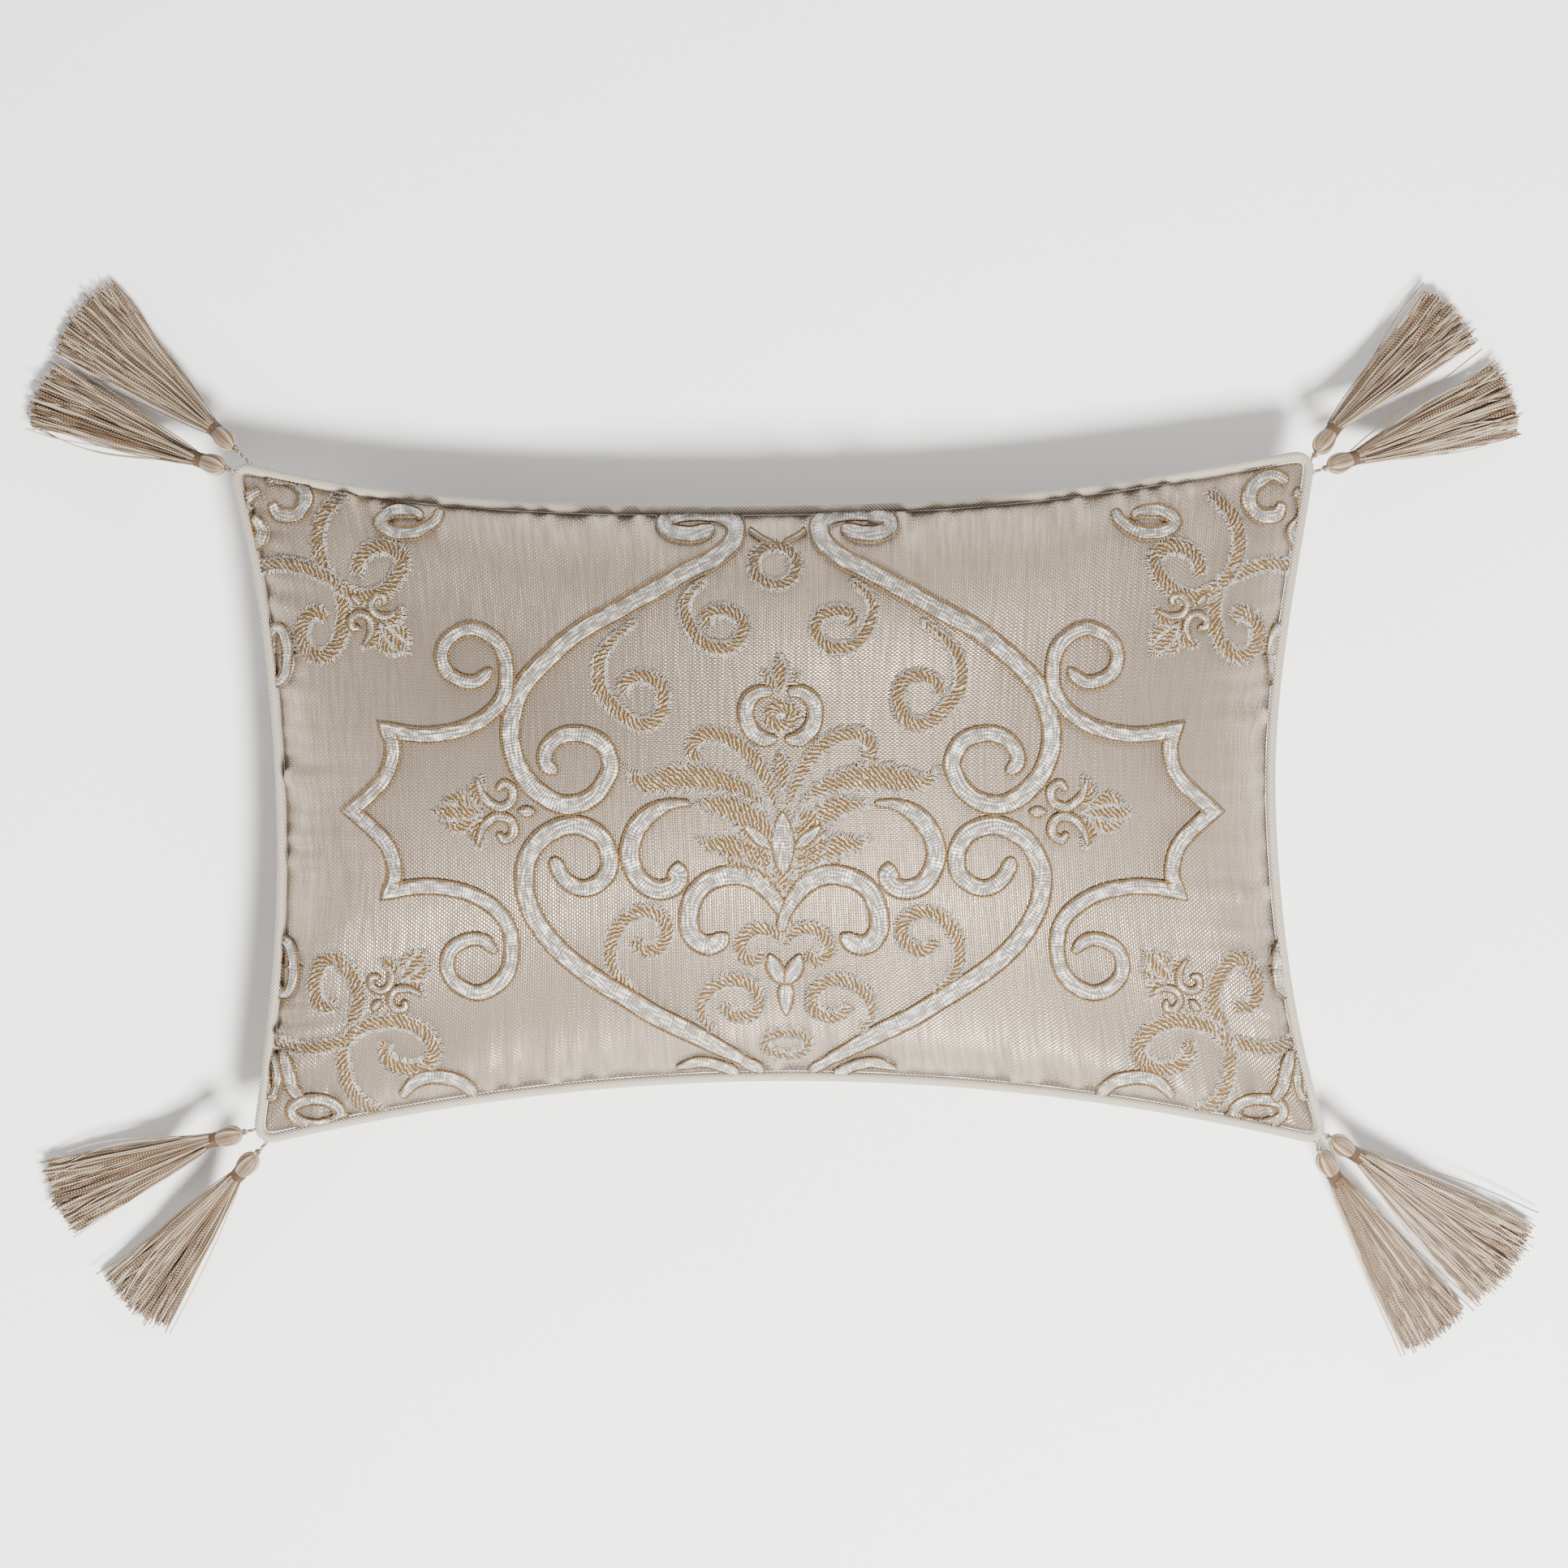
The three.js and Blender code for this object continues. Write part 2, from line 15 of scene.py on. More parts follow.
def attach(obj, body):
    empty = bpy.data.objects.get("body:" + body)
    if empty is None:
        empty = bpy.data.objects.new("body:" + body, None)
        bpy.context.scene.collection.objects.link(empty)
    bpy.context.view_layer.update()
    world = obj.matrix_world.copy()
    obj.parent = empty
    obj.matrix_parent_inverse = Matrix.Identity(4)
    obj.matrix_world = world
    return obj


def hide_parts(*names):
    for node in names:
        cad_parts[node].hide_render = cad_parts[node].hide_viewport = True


bl_info = {
    "name": "Tasselled Throw Pillow",
    "version": (1, 0, 0),
    "blender": (4, 5, 0),
    "location": "View3D > Sidebar > Pillow",
    "description": "Sews, embroiders and trims a throw pillow round its frame",
    "category": "Add Mesh",
}

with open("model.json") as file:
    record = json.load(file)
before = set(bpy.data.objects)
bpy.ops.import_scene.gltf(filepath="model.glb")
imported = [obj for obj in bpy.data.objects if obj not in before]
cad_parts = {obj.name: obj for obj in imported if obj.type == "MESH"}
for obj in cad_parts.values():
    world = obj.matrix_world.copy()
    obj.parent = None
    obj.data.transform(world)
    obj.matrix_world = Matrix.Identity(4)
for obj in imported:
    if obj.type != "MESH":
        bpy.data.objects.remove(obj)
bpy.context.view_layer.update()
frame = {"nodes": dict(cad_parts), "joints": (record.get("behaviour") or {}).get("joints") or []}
MM = 0.001
SEED = 7

# ---- The stitched seam, as the frame has it, in millimetres ----
LENGTH, WIDTH = 549.0, 347.0
SEAM_HEIGHT, CORNER_DROOP, CORNER_TRIM = 56.0, 8.0, 6.0
FRONT_RISE, BACK_DROP, FULLNESS = 84.0, 64.0, 0.58
CORNERS = {"TL": (-279.7, 168.9), "BL": (-267.1, -173.5), "BR": (277.2, -173.5), "TR": (270.9, 174.7)}
SIDES = [("TL", "BL", 18.8, 2.6, 1.7), ("BL", "BR", 33.4, 2.0, 2.0),
         ("BR", "TR", 24.5, 2.4, 1.35), ("TR", "TL", 26.0, 1.9, 3.0)]
ZIP_HALF, ZIP_STOP = 150.0, 3.0
# The two directions between which each tassel's skirt fans out, in degrees, and its reach.
SKIRTS = [(128, 151, 93), (148, 166, 90), (190.5, 211.5, 88), (219.5, 241.5, 87),
          (295, 313, 98), (311.5, 335, 101), (11, 31, 87), (33, 53, 87)]
LOCKS, HEAD_RIBS = 17, 13
HEAD_LENGTH, HEAD_RADIUS, BAND_LENGTH, BAND_RADIUS, KNOT_RADIUS = 14.5, 5.4, 8.0, 4.1, 1.7
GAP = 0.3
# The middle of the zip along X, and the back panel's rows of cloth between which it opens.
ZIP_MIDDLE, ZIP_ROWS = 5.05, (0, 0.55, 3.15)

# ---- How the cover is stuffed and stitched ----
CLOTH = {"quality": 8, "mass": 0.15, "air_damping": 4.0, "tension_stiffness": 40.0,
         "compression_stiffness": 40.0, "shear_stiffness": 12.0, "bending_stiffness": 0.6,
         "use_pressure": True}
GATHER_WAVES, SLACK_WAVES = (11.3, 15.1, 21.9, 30.3, 47.0), (61.0, 88.0, 127.0)
# The point above the pillow from which the stitching is laid on it, in metres.
EYE = Vector((0.0017, 0.0075, 2.524))
MIRROR_X, MIRROR_Y, SHEAR = 0.8, -6.5, -0.017
LEAF_TOOTH, SLANT = 7.5, 0.9
# Surfaces that later pieces are laid on, kept by name as they are built.
BUILT = {}


# ---- What a user would change ----
def span(name, what, default, low=0.0):
    return FloatProperty(name=name, description=what, default=default, min=low, unit="LENGTH")


class PillowSizes(PropertyGroup):
    grid: span("Cloth grid", "Spacing of the cloth's mesh before it is subdivided", 0.0046, 0.003)
    pressure: FloatProperty(name="Stuffing pressure", min=0.0, default=5.0,
                            description="How hard the filling presses on the front")
    pucker: span("Pucker height", "Height of the gathers beside the seam", 0.0026)
    cloth: span("Cloth thickness", "Thickness of the cover's cloth", 0.0008)
    piping: span("Piping radius", "Radius of the twisted cord round the seam", 0.0026, 0.001)
    piping_lead: span("Piping lead", "Length of one full twist of the piping", 0.016, 0.004)
    relief: span("Embroidery relief", "Height of the satin stitching off the cloth", 0.0009)
    outline: span("Outline radius", "Radius of the cord couched round the stitching", 0.00055, 0.0001)
    yarns: IntProperty(name="Yarns", description="Yarns in one tassel's skirt", default=290, min=20, max=400)
    yarn: span("Yarn radius", "Radius of one yarn in a skirt", 0.00036, 0.0001)


def colour(name, what, default):
    return FloatVectorProperty(name=name, description=what, default=default, size=3,
                               subtype="COLOR", min=0.0, max=1.0)


class PillowColours(PropertyGroup):
    cloth: colour("Cloth", "Colour of the cover's cloth", (0.42, 0.335, 0.255))
    # Slub is also the satin stitching's darker thread tone and the colour of its painted shade.
    slub: colour("Slub", "Colour of the darker threads in the cloth", (0.22, 0.175, 0.135))
    ivory: colour("Ivory thread", "Colour of the satin stitching", (0.86, 0.82, 0.74))
    tan: colour("Tan thread", "Colour of the outlines and darker stitching", (0.182, 0.103, 0.034))
    cream: colour("Piping", "Colour of the piping", (0.57, 0.50, 0.405))
    brown: colour("Brown yarn", "Colour of the brown yarns in the tassels", (0.10, 0.054, 0.024))
    strand: colour("Pale yarn", "Colour of the pale yarns in the tassels", (0.44, 0.36, 0.262))
    wrap: colour("Wrap", "Colour of the thread round each tassel's neck", (0.17, 0.09, 0.038))
    lining: colour("Lining", "Colour of the insert", (0.86, 0.85, 0.82))
    metal: colour("Metal", "Colour of the zip's metal", (0.50, 0.43, 0.33))


def sizes():
    return bpy.context.scene.pillow_sizes


def colours():
    return bpy.context.scene.pillow_colours


# ---- Nodes ----
class Value:
    """An output in a node tree. Arithmetic on it adds Math nodes to the tree."""

    def __init__(self, socket):
        self.socket, self.tree = socket, socket.id_data

    def math(self, operation, *others):
        return calc(self.tree, operation, self, *others)

    def __add__(self, other):
        return self.math("ADD", other)

    def __sub__(self, other):
        return self.math("SUBTRACT", other)

    def __rsub__(self, other):
        return calc(self.tree, "SUBTRACT", other, self)

    def __mul__(self, other):
        return self.math("MULTIPLY", other)

    def __truediv__(self, other):
        return self.math("DIVIDE", other)

    def __pow__(self, other):
        return self.math("POWER", other)

    def above(self, limit):
        return self.math("GREATER_THAN", limit)

    def ridges(self):
        """Rounded ridges, one to each whole number."""
        return (self * math.pi).math("SINE").math("ABSOLUTE")

    def chance(self):
        """A random number for each whole number."""
        return value(self.tree, "ShaderNodeTexWhiteNoise", "Value", {"noise_dimensions": "1D"},
                     W=self.math("FLOOR"))

    def parts(self):
        return [Value(out) for out in add(self.tree, "ShaderNodeSeparateXYZ", Vector=self).outputs]


def feed(socket, source):
    """Links an output to a socket, or sets the socket to a number, a word or a colour."""
    if isinstance(source, Value):
        source.tree.links.new(source.socket, socket)
    elif isinstance(source, (int, float, str)):
        socket.default_value = source
    else:
        socket.default_value = (*source, 1.0)


def add(tree, kind, settings=(), **inputs):
    """A new node with its settings, then its inputs, whose names have underscores for spaces."""
    node = tree.nodes.new(kind)
    for name, setting in dict(settings).items():
        setattr(node, name, setting)
    for name, source in inputs.items():
        feed(node.inputs[name.replace("_", " ")], source)
    return node


def value(tree, kind, output=0, settings=(), **inputs):
    return Value(add(tree, kind, settings, **inputs).outputs[output])


def calc(tree, operation, *sources):
    node = add(tree, "ShaderNodeMath", {"operation": operation})
    for socket, source in zip(node.inputs, sources):
        feed(socket, source)
    return Value(node.outputs[0])


def named(outputs):
    return {out.name: Value(out) for out in outputs if out.name}


def built_once(name):
    """For a function that builds the node group of this name: it is built once and then found."""
    return lambda build: lambda: bpy.data.node_groups.get(name) or build(name)


def new_group(name, kind, inputs, outputs):
    """A node group, its inputs as values and its output node's sockets."""
    tree = bpy.data.node_groups.new(name, kind)
    for label, socket, default in inputs:
        made = tree.interface.new_socket(name=label, in_out="INPUT", socket_type="NodeSocket" + socket)
        if default is not None:
            made.default_value = default
    for label, socket in outputs:
        tree.interface.new_socket(name=label, in_out="OUTPUT", socket_type="NodeSocket" + socket)
    inside = named(tree.nodes.new("NodeGroupInput").outputs)
    return tree, inside, tree.nodes.new("NodeGroupOutput").inputs


@built_once("Weave")
def weave_group(name):
    """Plain weave: Height for a bump, Pit shade where threads cross, for painted shade in the gaps between
    them, and Slub for uneven threads.
    """
    tree, inside, out = new_group(
        name, "ShaderNodeTree",
        (("Vector", "Vector", None), ("Warp", "Float", 0.0013), ("Weft", "Float", 0.0011),
         ("Slub length", "Float", 0.03)),
        (("Height", "Float"), ("Pit shade", "Float"), ("Slub", "Float")))
    x, y, _ = inside["Vector"].parts()
    u, v = x / inside["Warp"], y / inside["Weft"]
    over = (u.math("FLOOR") + v.math("FLOOR")).math("PINGPONG", 1.0)
    across, along = u.ridges(), v.ridges()
    feed(out["Height"], across * over + along * (1.0 - over))
    # Pit shade: high in the gaps between threads, where painted shade is laid.
    feed(out["Pit shade"], ((1.0 - across) * (1.0 - along)) ** 0.8)
    drawn = value(tree, "ShaderNodeCombineXYZ", X=u * 0.55, Y=y / inside["Slub length"])
    noise = value(tree, "ShaderNodeTexNoise", Scale=1.0, Detail=3.0, Vector=drawn)
    feed(out["Slub"], value(tree, "ShaderNodeMapRange", From_Min=0.38, From_Max=0.66, Value=noise))
    return tree


@built_once("Threads")
def thread_group(name):
    """Threads lying side by side: Height across each, and Tone, which differs between threads."""
    tree, inside, out = new_group(
        name, "ShaderNodeTree",
        (("Along", "Float", 0.0), ("Across", "Float", 0.0), ("Pitch", "Float", 0.0005),
         ("Waver", "Float", 0.35)),
        (("Height", "Float"), ("Tone", "Float")))
    place = value(tree, "ShaderNodeCombineXYZ", X=inside["Along"] * 120.0, Y=inside["Across"] * 90.0)
    sway = value(tree, "ShaderNodeTexNoise", Scale=1.0, Vector=place)
    shifted = inside["Along"] / inside["Pitch"] + sway * (inside["Waver"] * 8.0)
    feed(out["Height"], shifted.ridges())
    feed(out["Tone"], shifted.chance())
    return tree


@built_once("Uneven tone")
def tone_group(name):
    """Soft uneven tone, such as handling and dye leave on cloth: Factor is 0.5 on average."""
    tree, inside, out = new_group(name, "ShaderNodeTree",
                                  (("Vector", "Vector", None), ("Scale", "Float", 30.0)),
                                  (("Factor", "Float"),))
    feed(out["Factor"], value(tree, "ShaderNodeTexNoise", Detail=4.0, **inside))
    return tree


class Finish:
    """A material being built: its tree, its shader and short ways to add to them."""

    def __init__(self, name, roughness=0.6, sheen=0.0, metallic=0.0, specular=0.4):
        self.material = bpy.data.materials.new(name)
        self.material.use_nodes = True
        self.tree = self.material.node_tree
        self.shader = self.tree.nodes["Principled BSDF"].inputs
        for socket, number in (("Roughness", roughness), ("Sheen Weight", sheen),
                               ("Sheen Roughness", 0.4), ("Metallic", metallic),
                               ("Specular IOR Level", specular)):
            self.shader[socket].default_value = number

    def value(self, kind, output=0, settings=(), **inputs):
        return value(self.tree, kind, output, settings, **inputs)

    def group(self, tree, **inputs):
        return named(add(self.tree, "ShaderNodeGroup", {"node_tree": tree}, **inputs).outputs)

    def tone(self, scale, kind="Object"):
        return self.group(tone_group(), Vector=self.coordinates(kind), Scale=scale)["Factor"]

    def attribute(self, name):
        return self.value("ShaderNodeAttribute", "Fac", {"attribute_name": name})

    def coordinates(self, kind="Object"):
        return self.value("ShaderNodeTexCoord", kind)

    def noise(self, scale, detail, **inputs):
        return self.value("ShaderNodeTexNoise", Scale=scale, Detail=detail,
                          Vector=self.coordinates(), **inputs)

    def mix(self, factor, a, b):
        node = add(self.tree, "ShaderNodeMix", {"data_type": "RGBA"})
        for index, source in ((0, factor), (6, a), (7, b)):
            feed(node.inputs[index], source)
        return Value(node.outputs[2])

    def bump(self, height, strength, distance, below=None):
        inputs = {"Normal": below} if below else {}
        return self.value("ShaderNodeBump", Strength=strength, Distance=distance, Height=height,
                          **inputs)

    def wear(self, body, normal=None, roughness=None):
        for socket, source in (("Base Color", body), ("Normal", normal), ("Roughness", roughness)):
            if source is not None:
                feed(self.shader[socket], source)
        return self.material


def shade(rgb, factor):
    return tuple(min(1.0, c * factor) for c in rgb)


def cloth_finish(name, base, dark, pit_shade=0.9, slub=0.62, roughness=0.36):
    """Woven cloth on the piece's own flat-pattern UV map, with painted shade in the gaps between threads."""
    finish = Finish(name, roughness, sheen=0.08, metallic=0.7, specular=0.6)
    weave = finish.group(weave_group(), Vector=finish.coordinates("UV"))
    body = finish.mix(weave["Slub"] * slub, base, dark)
    # Painted shade: the gaps between threads are darkened nearly to black.
    body = finish.mix(weave["Pit shade"] * pit_shade, body, shade(dark, 0.22))
    body = finish.mix(finish.tone(22.0, "UV") * 0.2, body, shade(base, 1.15))
    normal = finish.bump(weave["Height"], 0.7, 0.0004)
    normal = finish.bump(weave["Slub"], 0.3, 0.0004, normal)
    return finish.wear(body, normal, weave["Slub"] * 0.15 + (roughness - 0.08))


def satin_finish(name, light, dark, pitch=0.0015, shade_streaks=0.85, metallic=0.12):
    """Satin stitching, with painted shade: dark streaks along the band for its uneven sheen, and darkened
    grooves between threads. UV holds the way along a band and across it, in metres.
    """
    finish = Finish(name, 0.3, sheen=0.1, metallic=metallic, specular=0.7)
    along, across, _ = finish.coordinates("UV").parts()
    threads = finish.group(thread_group(), Along=along, Across=across, Pitch=pitch)
    drawn = finish.value("ShaderNodeCombineXYZ", X=along * 150.0, Y=across * 900.0)
    run = finish.value("ShaderNodeTexNoise", Scale=1.0, Detail=2.0, Vector=drawn)
    shadow = finish.value("ShaderNodeMapRange", From_Min=0.40, From_Max=0.51, Value=run)
    body = finish.mix(threads["Tone"] * 0.3, light, dark)
    # Painted shade and sheen: dark streaks along the band stand in for the satin's directional sheen.
    body = finish.mix(shadow * shade_streaks, body, shade(dark, 0.55))
    # Painted shade in the grooves between threads.
    body = finish.mix((1.0 - threads["Height"]) ** 1.6 * 0.8, body, shade(dark, 0.45))
    normal = finish.bump(threads["Height"], 0.8, 0.0004)
    return finish.wear(body, finish.bump(run, 0.9, 0.0008, normal))


def twill_finish(name, light, dark, pitch=0.0028):
    """Stitches laid slantwise in two shades, with painted shade between them. UV holds the way along a band
    and across it.
    """
    finish = Finish(name, 0.5, sheen=0.04, metallic=0.1, specular=0.3)
    along, across, _ = finish.coordinates("UV").parts()
    waver = finish.noise(520.0, 2.0)
    ridge = ((along + across * SLANT) / pitch + waver * 1.6).ridges()
    pale = finish.value("ShaderNodeMapRange", From_Min=0.9, From_Max=0.99, Value=ridge)
    body = finish.mix(pale * 0.75, dark, light)
    # Painted shade in the troughs between stitches.
    body = finish.mix((1.0 - ridge) ** 2.0 * 0.8, body, shade(dark, 0.42))
    normal = finish.bump(ridge, 0.9, 0.0006)
    return finish.wear(body, finish.bump(waver, 0.4, 0.0004, normal))


def yarn_finish(name, light, dark, pitch=0.0017, share=0.78):
    """Spun yarn in two shades. Attributes: along in metres, and kind, high where it is speckled."""
    finish = Finish(name, 0.38, sheen=0.15, metallic=0.08, specular=0.5)
    along, kind = finish.attribute("along"), finish.attribute("kind")
    twist = (along / pitch + kind * 37.0).ridges()
    speckles = kind.above(1.0 - share) * twist.above(kind * 0.4)
    body = finish.mix(speckles, light, dark)
    body = finish.mix(finish.tone(420.0) * 0.25, body, shade(dark, 1.3))
    return finish.wear(body, finish.bump(twist, 0.6, 0.0002))


def ply_finish(name, light, dark, groove_shade=0.5, two_tone=1.0):
    """Twisted cord. Attributes: ply, from 0 to 1 across the cord's section, and groove, where painted shade
    darkens the grooves between plies.
    """
    finish = Finish(name, 0.5, sheen=0.3, specular=0.4)
    ply, groove = finish.attribute("ply"), finish.attribute("groove")
    body = finish.mix(ply.above(0.5) * two_tone, light, dark)
    # Painted shade in the grooves between plies.
    body = finish.mix(groove ** 0.7 * groove_shade, body, shade(dark, 0.24))
    body = finish.mix(finish.tone(900.0) * 0.3, body, shade(light, 0.8))
    return finish.wear(body, finish.bump(finish.noise(2600.0, 2.0), 0.35, 0.0002))


def head_finish(name, light, dark):
    """Yarns drawn down over a tassel's head: every rib is one yarn, pale or brown, with painted shade between
    ribs.
    """
    finish = Finish(name, 0.42, sheen=0.25, specular=0.45)
    along, around, _ = finish.coordinates("UV").parts()
    turn = (around * float(HEAD_RIBS) + along * 0.06) / math.pi
    twist = (along * 3.4 + turn * 4.0).math("SINE").math("ABSOLUTE")
    brown = (twist * 0.35 + turn.chance()).above(0.72)
    body = finish.mix(brown, light, shade(dark, 1.3))
    # Painted shade in the grooves between ribs.
    body = finish.mix((1.0 - turn.ridges()) ** 2.0 * 0.7, body, shade(dark, 0.6))
    return finish.wear(body, finish.bump(twist, 0.5, 0.0002))


def metal_finish(name, base):
    finish = Finish(name, 0.35, metallic=1.0)
    tone = finish.tone(700.0)
    body = finish.mix(tone, shade(base, 0.75), shade(base, 1.2))
    return finish.wear(body, finish.bump(tone, 0.2, 0.0001), tone * 0.25 + 0.22)


def tape_finish(name, base):
    """Woven tape and moulded coil, on Object coordinates."""
    finish = Finish(name, 0.75, sheen=0.2)
    weave = finish.group(weave_group(), Vector=finish.coordinates(), Warp=0.0008, Weft=0.0006)
    body = finish.mix(weave["Slub"], base, shade(base, 0.78))
    body = finish.mix(finish.tone(80.0) * 0.3, body, shade(base, 0.7))
    return finish.wear(body, finish.bump(weave["Height"], 0.5, 0.0002))


def fibre_finish(name, base):
    finish = Finish(name, 0.95, sheen=0.4)
    noise = finish.noise(240.0, 6.0, Distortion=1.5)
    body = finish.mix(noise, shade(base, 0.9), shade(base, 1.05))
    return finish.wear(body, finish.bump(noise, 0.8, 0.002))


# ---- The seam and the panels, in plan ----
def steps(points):
    """Lengths of a path's steps."""
    return np.linalg.norm(np.diff(points, axis=0), axis=1)


def run_along(points):
    """Length of a path up to each of its points."""
    return np.concatenate([[0], np.cumsum(steps(points))])


def side_length(side):
    return np.linalg.norm(np.subtract(CORNERS[side[0]], CORNERS[side[1]]))


def side_point(side, u):
    a, b = np.array(CORNERS[side[0]]), np.array(CORNERS[side[1]])
    along = (b - a) / np.linalg.norm(b - a)
    u = np.asarray(u, float)[..., None]
    turn = side[3] * (1 - u) + side[4] * u
    drawn = side[2] * (1 - np.abs(2 * u - 1) ** turn)
    return a + (b - a) * u + drawn * np.array([-along[1], along[0]])


def corner_arc(index, t):
    """Half-round corner where a side begins. t runs from 0 to 1 round it."""
    before, after = SIDES[index - 1], SIDES[index]
    p0 = side_point(before, 1 - CORNER_TRIM / side_length(before))
    p1 = np.array(CORNERS[after[0]])
    p2 = side_point(after, CORNER_TRIM / side_length(after))
    t = np.asarray(t, float)[..., None]
    return (1 - t) ** 2 * p0 + 2 * t * (1 - t) * p1 + t ** 2 * p2


def side_curve(index, samples):
    """Points from the middle of one corner to the middle of the next, evenly spaced."""
    side = SIDES[index]
    trim = CORNER_TRIM / side_length(side)
    raw = np.concatenate([corner_arc(index, np.linspace(0.5, 1, 12)[:-1]),
                          side_point(side, np.linspace(trim, 1 - trim, 240)),
                          corner_arc((index + 1) % 4, np.linspace(0, 0.5, 12)[1:])])
    return resample(raw, samples)


def resample(points, samples):
    """Points at given shares, or evenly spaced, along a path."""
    points = np.asarray(points, float)
    run = run_along(points)
    at = (np.linspace(0, 1, samples) if np.isscalar(samples) else np.asarray(samples)) * run[-1]
    return np.stack([np.interp(at, run, points[:, k]) for k in range(points.shape[1])], axis=1)


def seam_height(x, y):
    return SEAM_HEIGHT - CORNER_DROOP * np.abs(4 * x * y / (LENGTH * WIDTH)) ** 4


def panel_plan(us, vs):
    """Plan positions of a panel's grid: its four edges are the seam's four sides."""
    left, bottom = side_curve(0, 1 - vs[::-1])[::-1], side_curve(1, us)
    right, top = side_curve(2, vs), side_curve(3, 1 - us[::-1])[::-1]
    u, v = us[:, None, None], vs[None, :, None]
    across = (1 - v) * bottom[:, None] + v * top[:, None] + (1 - u) * left[None] + u * right[None]
    blend = ((1 - u) * (1 - v) * bottom[0] + u * (1 - v) * bottom[-1]
             + (1 - u) * v * top[0] + u * v * top[-1])
    return across - blend


def flat_grid(us, vs):
    """The flat pattern of a panel, in millimetres."""
    return np.stack(np.meshgrid((us - 0.5) * LENGTH, (vs - 0.5) * WIDTH, indexing="ij"), axis=-1)


def numbered(rows, columns):
    """The vertex numbers of a grid of points."""
    return np.arange(rows * columns).reshape(rows, columns)


def quads(index, keep=...):
    """The quads of a grid of vertex numbers."""
    made = np.stack([index[:-1, :-1], index[1:, :-1], index[1:, 1:], index[:-1, 1:]], axis=-1)
    return made[keep].reshape(-1, 4)


def grid_object(name, points, flat, keep=...):
    """A mesh of quads through a grid of points in millimetres, with the flat pattern as UV map."""
    faces = quads(numbered(*points.shape[:2]), keep)
    return mesh_object(name, points.reshape(-1, 3) * MM, faces, flat.reshape(-1, 2) * MM)


def placed(name, data):
    """A new object in the scene."""
    obj = bpy.data.objects.new(name, data)
    bpy.context.scene.collection.objects.link(obj)
    return obj


def smooth(mesh):
    mesh.polygons.foreach_set("use_smooth", np.ones(len(mesh.polygons), bool))


def corner_vertices(mesh):
    """The vertex at each corner of a mesh's faces."""
    corner = np.zeros(len(mesh.loops), np.int32)
    mesh.loops.foreach_get("vertex_index", corner)
    return corner


def add_uv(mesh, uv):
    """A UV map from one place for each vertex."""
    places = np.asarray(uv, np.float32)[corner_vertices(mesh)]
    mesh.uv_layers.new(name="UVMap").data.foreach_set("uv", places.ravel())


def mesh_object(name, points, faces, uv=None):
    mesh = bpy.data.meshes.new(name)
    mesh.from_pydata(np.asarray(points).tolist(), [], [list(map(int, f)) for f in faces])
    if uv is not None:
        add_uv(mesh, uv)
    smooth(mesh)
    mesh.update()
    return placed(name, mesh)


def vectors(collection, field):
    """A field of three numbers for every item of a collection, such as vertices' places."""
    flat = np.zeros(len(collection) * 3)
    collection.foreach_get(field, flat)
    return flat.reshape(-1, 3)


def coordinates(obj):
    return vectors(obj.data.vertices, "co")


def apply_modifiers(obj):
    """The object with its modifiers' result as a plain mesh."""
    bpy.context.view_layer.update()
    graph = bpy.context.evaluated_depsgraph_get()
    mesh = bpy.data.meshes.new_from_object(obj.evaluated_get(graph), depsgraph=graph)
    obj.modifiers.clear()
    if obj.data.shape_keys:
        obj.shape_key_clear()
    obj.data = mesh
    return obj


def paint(obj, material):
    obj.data.materials.clear()
    obj.data.materials.append(material)


def dress(obj, material, body="cushion", node=None):
    """The last steps for every piece: its finish, the body it rides on and the node it stands for."""
    paint(obj, material)
    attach(obj, body)
    if node:
        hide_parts(node)
    return obj


def inflate(obj, flat, pinned, pressure, frames=26):
    """Cloth that was cut flat, held at its seam and pushed out by the stuffing."""
    obj.shape_key_add(name="Sewn")
    key = obj.shape_key_add(name="Cut flat")
    key.data.foreach_set("co", np.ascontiguousarray(flat).ravel())
    group = obj.vertex_groups.new(name="Seam")
    for weight in np.unique(pinned):
        if weight > 0:
            group.add(np.nonzero(pinned == weight)[0].tolist(), float(weight), "REPLACE")
    cloth = obj.modifiers.new("Stuffed cloth", "CLOTH")
    settings = cloth.settings
    for name, setting in CLOTH.items():
        setattr(settings, name, setting)
    settings.uniform_pressure_force = pressure
    settings.vertex_group_mass = group.name
    settings.rest_shape_key = key
    settings.effector_weights.gravity = 0.0
    cloth.collision_settings.use_collision = False
    cloth.collision_settings.use_self_collision = False
    cloth.point_cache.frame_start, cloth.point_cache.frame_end = 1, frames
    for number in range(1, frames + 1):
        bpy.context.scene.frame_set(number)
    apply_modifiers(obj)
    bpy.context.scene.frame_set(1)


def rim_distance(u, v):
    """Distance in from the nearest seam, the way along it, and distance from the next seam."""
    gaps = np.stack([u * LENGTH, (1 - u) * LENGTH, v * WIDTH, (1 - v) * WIDTH])
    nearest = gaps.argmin(axis=0)
    along = np.where(nearest < 2, v * WIDTH, u * LENGTH) + 1000 * nearest
    depth, corner = np.sort(gaps, axis=0)[:2]
    return depth, along, corner


def wave(along, length, rng):
    return np.sin(2 * np.pi * along / length + rng.uniform(0, 6.3))


